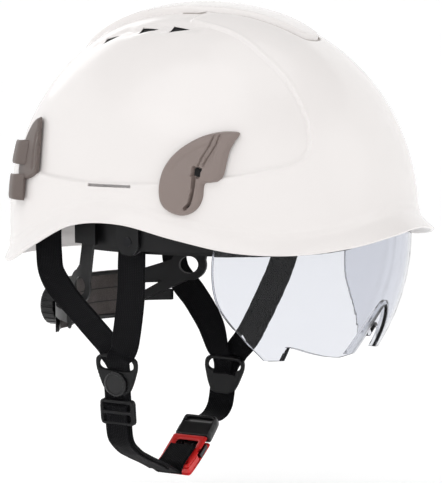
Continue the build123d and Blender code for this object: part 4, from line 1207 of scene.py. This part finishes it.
def fill_out(piece, cap):
    """Blows a pad's cover out between its held edges, by no more than cap millimetres."""
    start = vertex_places(piece)
    low, high = start.min(axis=0), start.max(axis=0)
    edge = (start[:, 2] < low[2] + HELD_EDGE) | (start[:, 2] > high[2] - HELD_EDGE)
    held = piece.vertex_groups.new(name="held")
    held.add([int(k) for k in np.nonzero(edge)[0]], 1.0, "REPLACE")
    cloth = piece.modifiers.new("cloth", "CLOTH")
    cloth.settings.use_pressure = True
    cloth.settings.uniform_pressure_force = 4.0
    cloth.settings.tension_stiffness = 30.0
    cloth.settings.compression_stiffness = 30.0
    cloth.settings.mass = 0.15
    cloth.settings.vertex_group_mass = "held"
    cloth.settings.effector_weights.gravity = 0.0
    cloth.point_cache.frame_start = 1
    cloth.point_cache.frame_end = CLOTH_FRAMES
    for number in range(1, CLOTH_FRAMES + 1):
        bpy.context.scene.frame_set(number)
    apply_modifiers(piece)
    move = vertex_places(piece) - start
    size = np.linalg.norm(move, axis=1, keepdims=True)
    move *= np.minimum(1.0, cap * MM / np.maximum(size, 1e-12))
    piece.data.vertices.foreach_set("co", (start + move).ravel())
    piece.data.update()
    bpy.context.scene.frame_set(1)


def puffed(node, name, material, slot, body, voxel, cap):
    """Pad with the design's shape whose cover is filled out by a short cloth simulation."""
    piece = even_copy(node, name, voxel)
    fill_out(piece, cap)
    rounder = piece.modifiers.new("rounder", "SUBSURF")
    rounder.levels = 1
    rounder.render_levels = 1
    apply_modifiers(piece)
    for polygon in piece.data.polygons:
        polygon.use_smooth = True
    place_piece(piece, body, material, slot, node)


puffed("brow_sweat_pad", "brow_sweat_pad_cover", BROW_FOAM, "brow_sweat_pad", "hat", 2.0, 0.25)
puffed("nape_pad", "nape_pad_cover", NAPE_CLOTH, "nape_pad", "nape_unit", 2.0, 0.5)
puffed("crown_pad", "crown_pad_cover", CROWN_FOAM, "crown_pad", "hat", 1.6, 0.3)


def tube(name, path, radius, body, material, slot, closed=True, sides=10):
    """Round bead of fixed shape along a path."""
    path = np.asarray(path, float)
    if closed:
        along = np.roll(path, -1, axis=0) - np.roll(path, 1, axis=0)
    else:
        along = np.gradient(path, axis=0)
    along = unit(along)
    side = np.cross(along, ALONG_Y)
    side /= np.maximum(np.linalg.norm(side, axis=1, keepdims=True), 1e-6)
    other = np.cross(along, side)
    vertices = []
    for centre, a, b in zip(path, side, other):
        for index in range(sides):
            turn = 2.0 * math.pi * index / sides
            vertices.append(centre + radius * (a * math.cos(turn) + b * math.sin(turn)))
    piece = new_object(name, vertices, ring_faces(len(path), sides, closed))
    face_outwards(piece, weld=False)
    place_piece(piece, body, material, slot)


BAND_MID_Y = 8.0
BAND_HALF_X = 80.0
BAND_HALF_Y = 100.0


def band_spot(turn, out, height):
    """Point beside the headband's oval; the turn is in degrees from the back."""
    angle = math.radians(turn)
    return ((BAND_HALF_X + out) * math.sin(angle), BAND_MID_Y + (BAND_HALF_Y + out) * math.cos(angle), height)


def make_nape_piping():
    border = rounded([(-33.0, -62.6), (33.0, -62.6), (33.0, -33.4), (-33.0, -33.4)], 3.4, 8)
    path = [band_spot(turn, -3.9, height) for turn, height in resampled(border, 1.6)]
    tube("nape_pad_piping", path, 1.25, "nape_unit", PIPING, "nape_pad")
    for height in (-43.5, -52.5):
        seam = [band_spot(turn, -4.6, height) for turn in np.linspace(-29.0, 29.0, 60)]
        tube("nape_pad_seam_%d" % abs(int(height)), seam, 0.35, "nape_unit", PIPING, "nape_pad", closed=False,
             sides=6)


make_nape_piping()


# ---------------------------------------------------------------- dark edges of the lens, painted shade
def sharp_chains(mesh, degrees):
    """Runs of vertices along the sharp edges of a mesh."""
    work = bmesh.new()
    work.from_mesh(mesh)
    bmesh.ops.remove_doubles(work, verts=work.verts, dist=2e-6)
    work.verts.index_update()
    limit = math.radians(degrees)
    links = {}
    for edge in work.edges:
        if len(edge.link_faces) == 2 and edge.calc_face_angle(0.0) > limit:
            a, b = edge.verts[0].index, edge.verts[1].index
            links.setdefault(a, []).append(b)
            links.setdefault(b, []).append(a)
    places = [tuple(v.co / MM) for v in work.verts]
    work.free()
    used = set()
    chains = []
    starts = [v for v in links if len(links[v]) != 2] + list(links)
    for start in starts:
        for after in links[start]:
            if frozenset((start, after)) in used:
                continue
            chain = [start, after]
            used.add(frozenset((start, after)))
            while len(links[chain[-1]]) == 2:
                options = [v for v in links[chain[-1]] if frozenset((chain[-1], v)) not in used]
                if not options:
                    break
                used.add(frozenset((chain[-1], options[0])))
                chain.append(options[0])
            chains.append(chain)
    return [[places[v] for v in chain] for chain in chains]


# Dark beads along the lens's cut edges: painted shade for the dark refraction that clear plastic shows at its
# edges.
LENS_EDGE_SHADE = moulded("lens_edge_dark", (0.1, 0.105, 0.12), (0.07, 0.075, 0.09), 0.3)

PIVOT = np.array([0.0, 7.0, 4.0])
SHORTEST_EDGE = 6.0


def make_lens_edge_shade():
    for number, chain in enumerate(sharp_chains(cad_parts["visor_lens"].data, 50.0)):
        line = np.array(chain)
        lengths = run_lengths(line)
        if lengths[-1] < SHORTEST_EDGE:
            continue
        places = np.linspace(0.0, lengths[-1], max(6, int(lengths[-1] / 1.2)))
        even = np.stack([np.interp(places, lengths, line[:, k]) for k in range(3)], axis=-1)
        outwards = unit(even - PIVOT)
        tube("lens_edge_%02d" % number, even - outwards * 0.1, 0.17, "visor", LENS_EDGE_SHADE, "visor_lens",
             closed=False, sides=6)


make_lens_edge_shade()


# ---------------------------------------------------------------- dark plates under the vents, painted shade
SHADE_PLATE_INSET = WALL + 0.3


def make_shade_plates():
    for side, label in ((-1, "right"), (1, "left")):
        for number, (front, length) in enumerate(VENTS):
            x = side * (VENT_OUT_X + 1.0)
            outline = rounded([(-5.0, front - 9.0), (7.0, front - 9.0), (7.0, front + length - 3.0),
                               (-5.0, front + length - 3.0)], 2.0)

            def under_dome(u, v, w, x=x, side=side):
                place_x = x + side * u
                share = abs(place_x) / (HALF_WIDTH - SHADE_PLATE_INSET)
                ahead = abs(v - MID_Y) / ((REACH_FRONT if v < MID_Y else REACH_REAR) - SHADE_PLATE_INSET)
                scale = (share ** PLAN_POWER + ahead ** PLAN_POWER) ** (1.0 / PLAN_POWER)
                height = (RISE - SHADE_PLATE_INSET) * (1.0 - scale ** DOME_POWER) ** (1.0 / DOME_POWER)
                return np.array((place_x, v, MID_Z + height + w))

            # Black plates under the vent holes: painted shade, so the vents look dark as shaded openings do.
            shade_plate = flat_plate("vent_screen_%s_%d" % (label, number + 1), under_dome, outline, [], -1.2, -0.2,
                                radius=0.3, step=1.5)
            place_piece(shade_plate, "hat", BLACK_PLASTIC, "shell")


make_shade_plates()


# ---------------------------------------------------------------- grey bead beside the crown blade, painted shadow of its groove
# The grey bead is painted shadow: it stands for the shade in the groove beside the blade.
BLADE_SHADOW_GREY = moulded("blade_shadow_grey", (0.42, 0.38, 0.36), (0.36, 0.33, 0.31), 0.5)
GAP_REAR_Y = 12.0
GAP_OUT = 1.1


def make_blade_shadow():
    for side, label in ((-1, "right"), (1, "left")):
        edge = smooth_loop(np.array([(-side * x, y, z) for x, y, z in BLADE_EDGE]), 8, closed=False)
        out = unit(np.stack([np.gradient(edge[:, 1]), -np.gradient(edge[:, 0])], axis=-1))
        middle = edge[:, :2].mean(axis=0)
        if np.sum((edge[:, :2] - middle) * out) < 0:
            out = -out
        path = []
        for (x, y), (across, ahead) in zip(edge[:, :2], out):
            start = Vector(((x + across * GAP_OUT) * MM, (y + ahead * GAP_OUT) * MM, 0.3))
            hit, place, _, _ = shell_skin.ray_cast(start, Vector((0.0, 0.0, -1.0)))
            if hit and y < GAP_REAR_Y:
                path.append(tuple(place / MM))
        tube("blade_shadow_" + label, path, 0.6, "hat", BLADE_SHADOW_GREY, "shell", closed=False, sides=8)


make_blade_shadow()


# ---------------------------------------------------------------- camera, light and floor
TARGET = Vector((1.3, -2.25, -4.3)) * MM
CAMERA_TURN = -60.0
CAMERA_RAISE = 6.0
CAMERA_GAP = 1.4
FLOOR_Z = -0.2


def look_at(thing, place, target):
    thing.location = place
    thing.rotation_euler = (target - place).to_track_quat("-Z", "Y").to_euler()


def direction(turn, rise):
    turn, rise = math.radians(turn), math.radians(rise)
    return Vector((math.sin(turn) * math.cos(rise), -math.cos(turn) * math.cos(rise), math.sin(rise)))


camera_data = bpy.data.cameras.new("camera")
camera_data.lens = 159.1
camera_data.sensor_width = 36.0
camera_data.sensor_fit = "AUTO"
camera_data.clip_start = 0.05
camera_data.clip_end = 50.0
camera = bpy.data.objects.new("camera", camera_data)
bpy.context.scene.collection.objects.link(camera)
look_at(camera, TARGET + direction(CAMERA_TURN, CAMERA_RAISE) * CAMERA_GAP, TARGET)
bpy.context.scene.camera = camera


def soft_light(name, turn, rise, gap, size, power):
    data = bpy.data.lights.new(name, "AREA")
    data.shape = "DISK"
    data.size = size
    data.energy = power
    light = bpy.data.objects.new(name, data)
    bpy.context.scene.collection.objects.link(light)
    look_at(light, direction(turn, rise) * gap, Vector((0, 0, 0)))


soft_light("key", -105.0, 52.0, 1.6, 1.3, 4.2)
soft_light("fill", 10.0, 25.0, 1.9, 1.4, 1.6)
soft_light("top", -20.0, 82.0, 1.6, 1.2, 2.2)
soft_light("rim", 150.0, 30.0, 1.9, 1.0, 2.0)


FLOOR_TURNS = 96
FLAT_ROWS = 14
CURVE_ROWS = 16
FLAT_REACH = 3.2           # m
CURVE_R = 1.6
WALL_TOP = 4.0


def make_floor():
    """Plain floor that curves up far behind, all round, so it has no edge in any view."""
    profile = [(FLAT_REACH * index / FLAT_ROWS, 0.0) for index in range(1, FLAT_ROWS + 1)]
    for index in range(1, CURVE_ROWS + 1):
        turn = math.pi / 2 * index / CURVE_ROWS
        profile.append((FLAT_REACH + CURVE_R * math.sin(turn), CURVE_R * (1 - math.cos(turn))))
    profile.append((FLAT_REACH + CURVE_R, WALL_TOP))
    vertices = []
    for radius, height in profile:
        for index in range(FLOOR_TURNS):
            turn = 2.0 * math.pi * index / FLOOR_TURNS
            vertices.append((radius * math.sin(turn) / MM, radius * math.cos(turn) / MM,
                             (FLOOR_Z + height) / MM))
    vertices.append((0.0, 0.0, FLOOR_Z / MM))
    last = len(vertices) - 1
    faces = [(last, (index + 1) % FLOOR_TURNS, index) for index in range(FLOOR_TURNS)]
    faces += ring_faces(len(profile), FLOOR_TURNS)
    floor = new_object("floor", vertices, faces)
    made, tree, shader = links_of("floor_pale")
    drift = noise(tree, object_place(tree), Scale=2.0, Detail=2.0)
    colour = colour_from(tree, shader, drift, [0.93] * 3, [0.95] * 3)
    tree.links.new(colour, shader.inputs["Emission Color"])
    shader.inputs["Emission Strength"].default_value = 0.265
    shader.inputs["Roughness"].default_value = 0.9
    shader.inputs["Specular IOR Level"].default_value = 0.1
    floor.data.materials.append(made)


make_floor()
world = bpy.data.worlds.new("world")
world.use_nodes = True
world.node_tree.nodes["Background"].inputs["Color"].default_value = (1.0, 1.0, 1.0, 1.0)
world.node_tree.nodes["Background"].inputs["Strength"].default_value = 0.56
bpy.context.scene.world = world
bpy.context.scene.view_settings.view_transform = "Standard"
bpy.context.scene.view_settings.exposure = 0.0
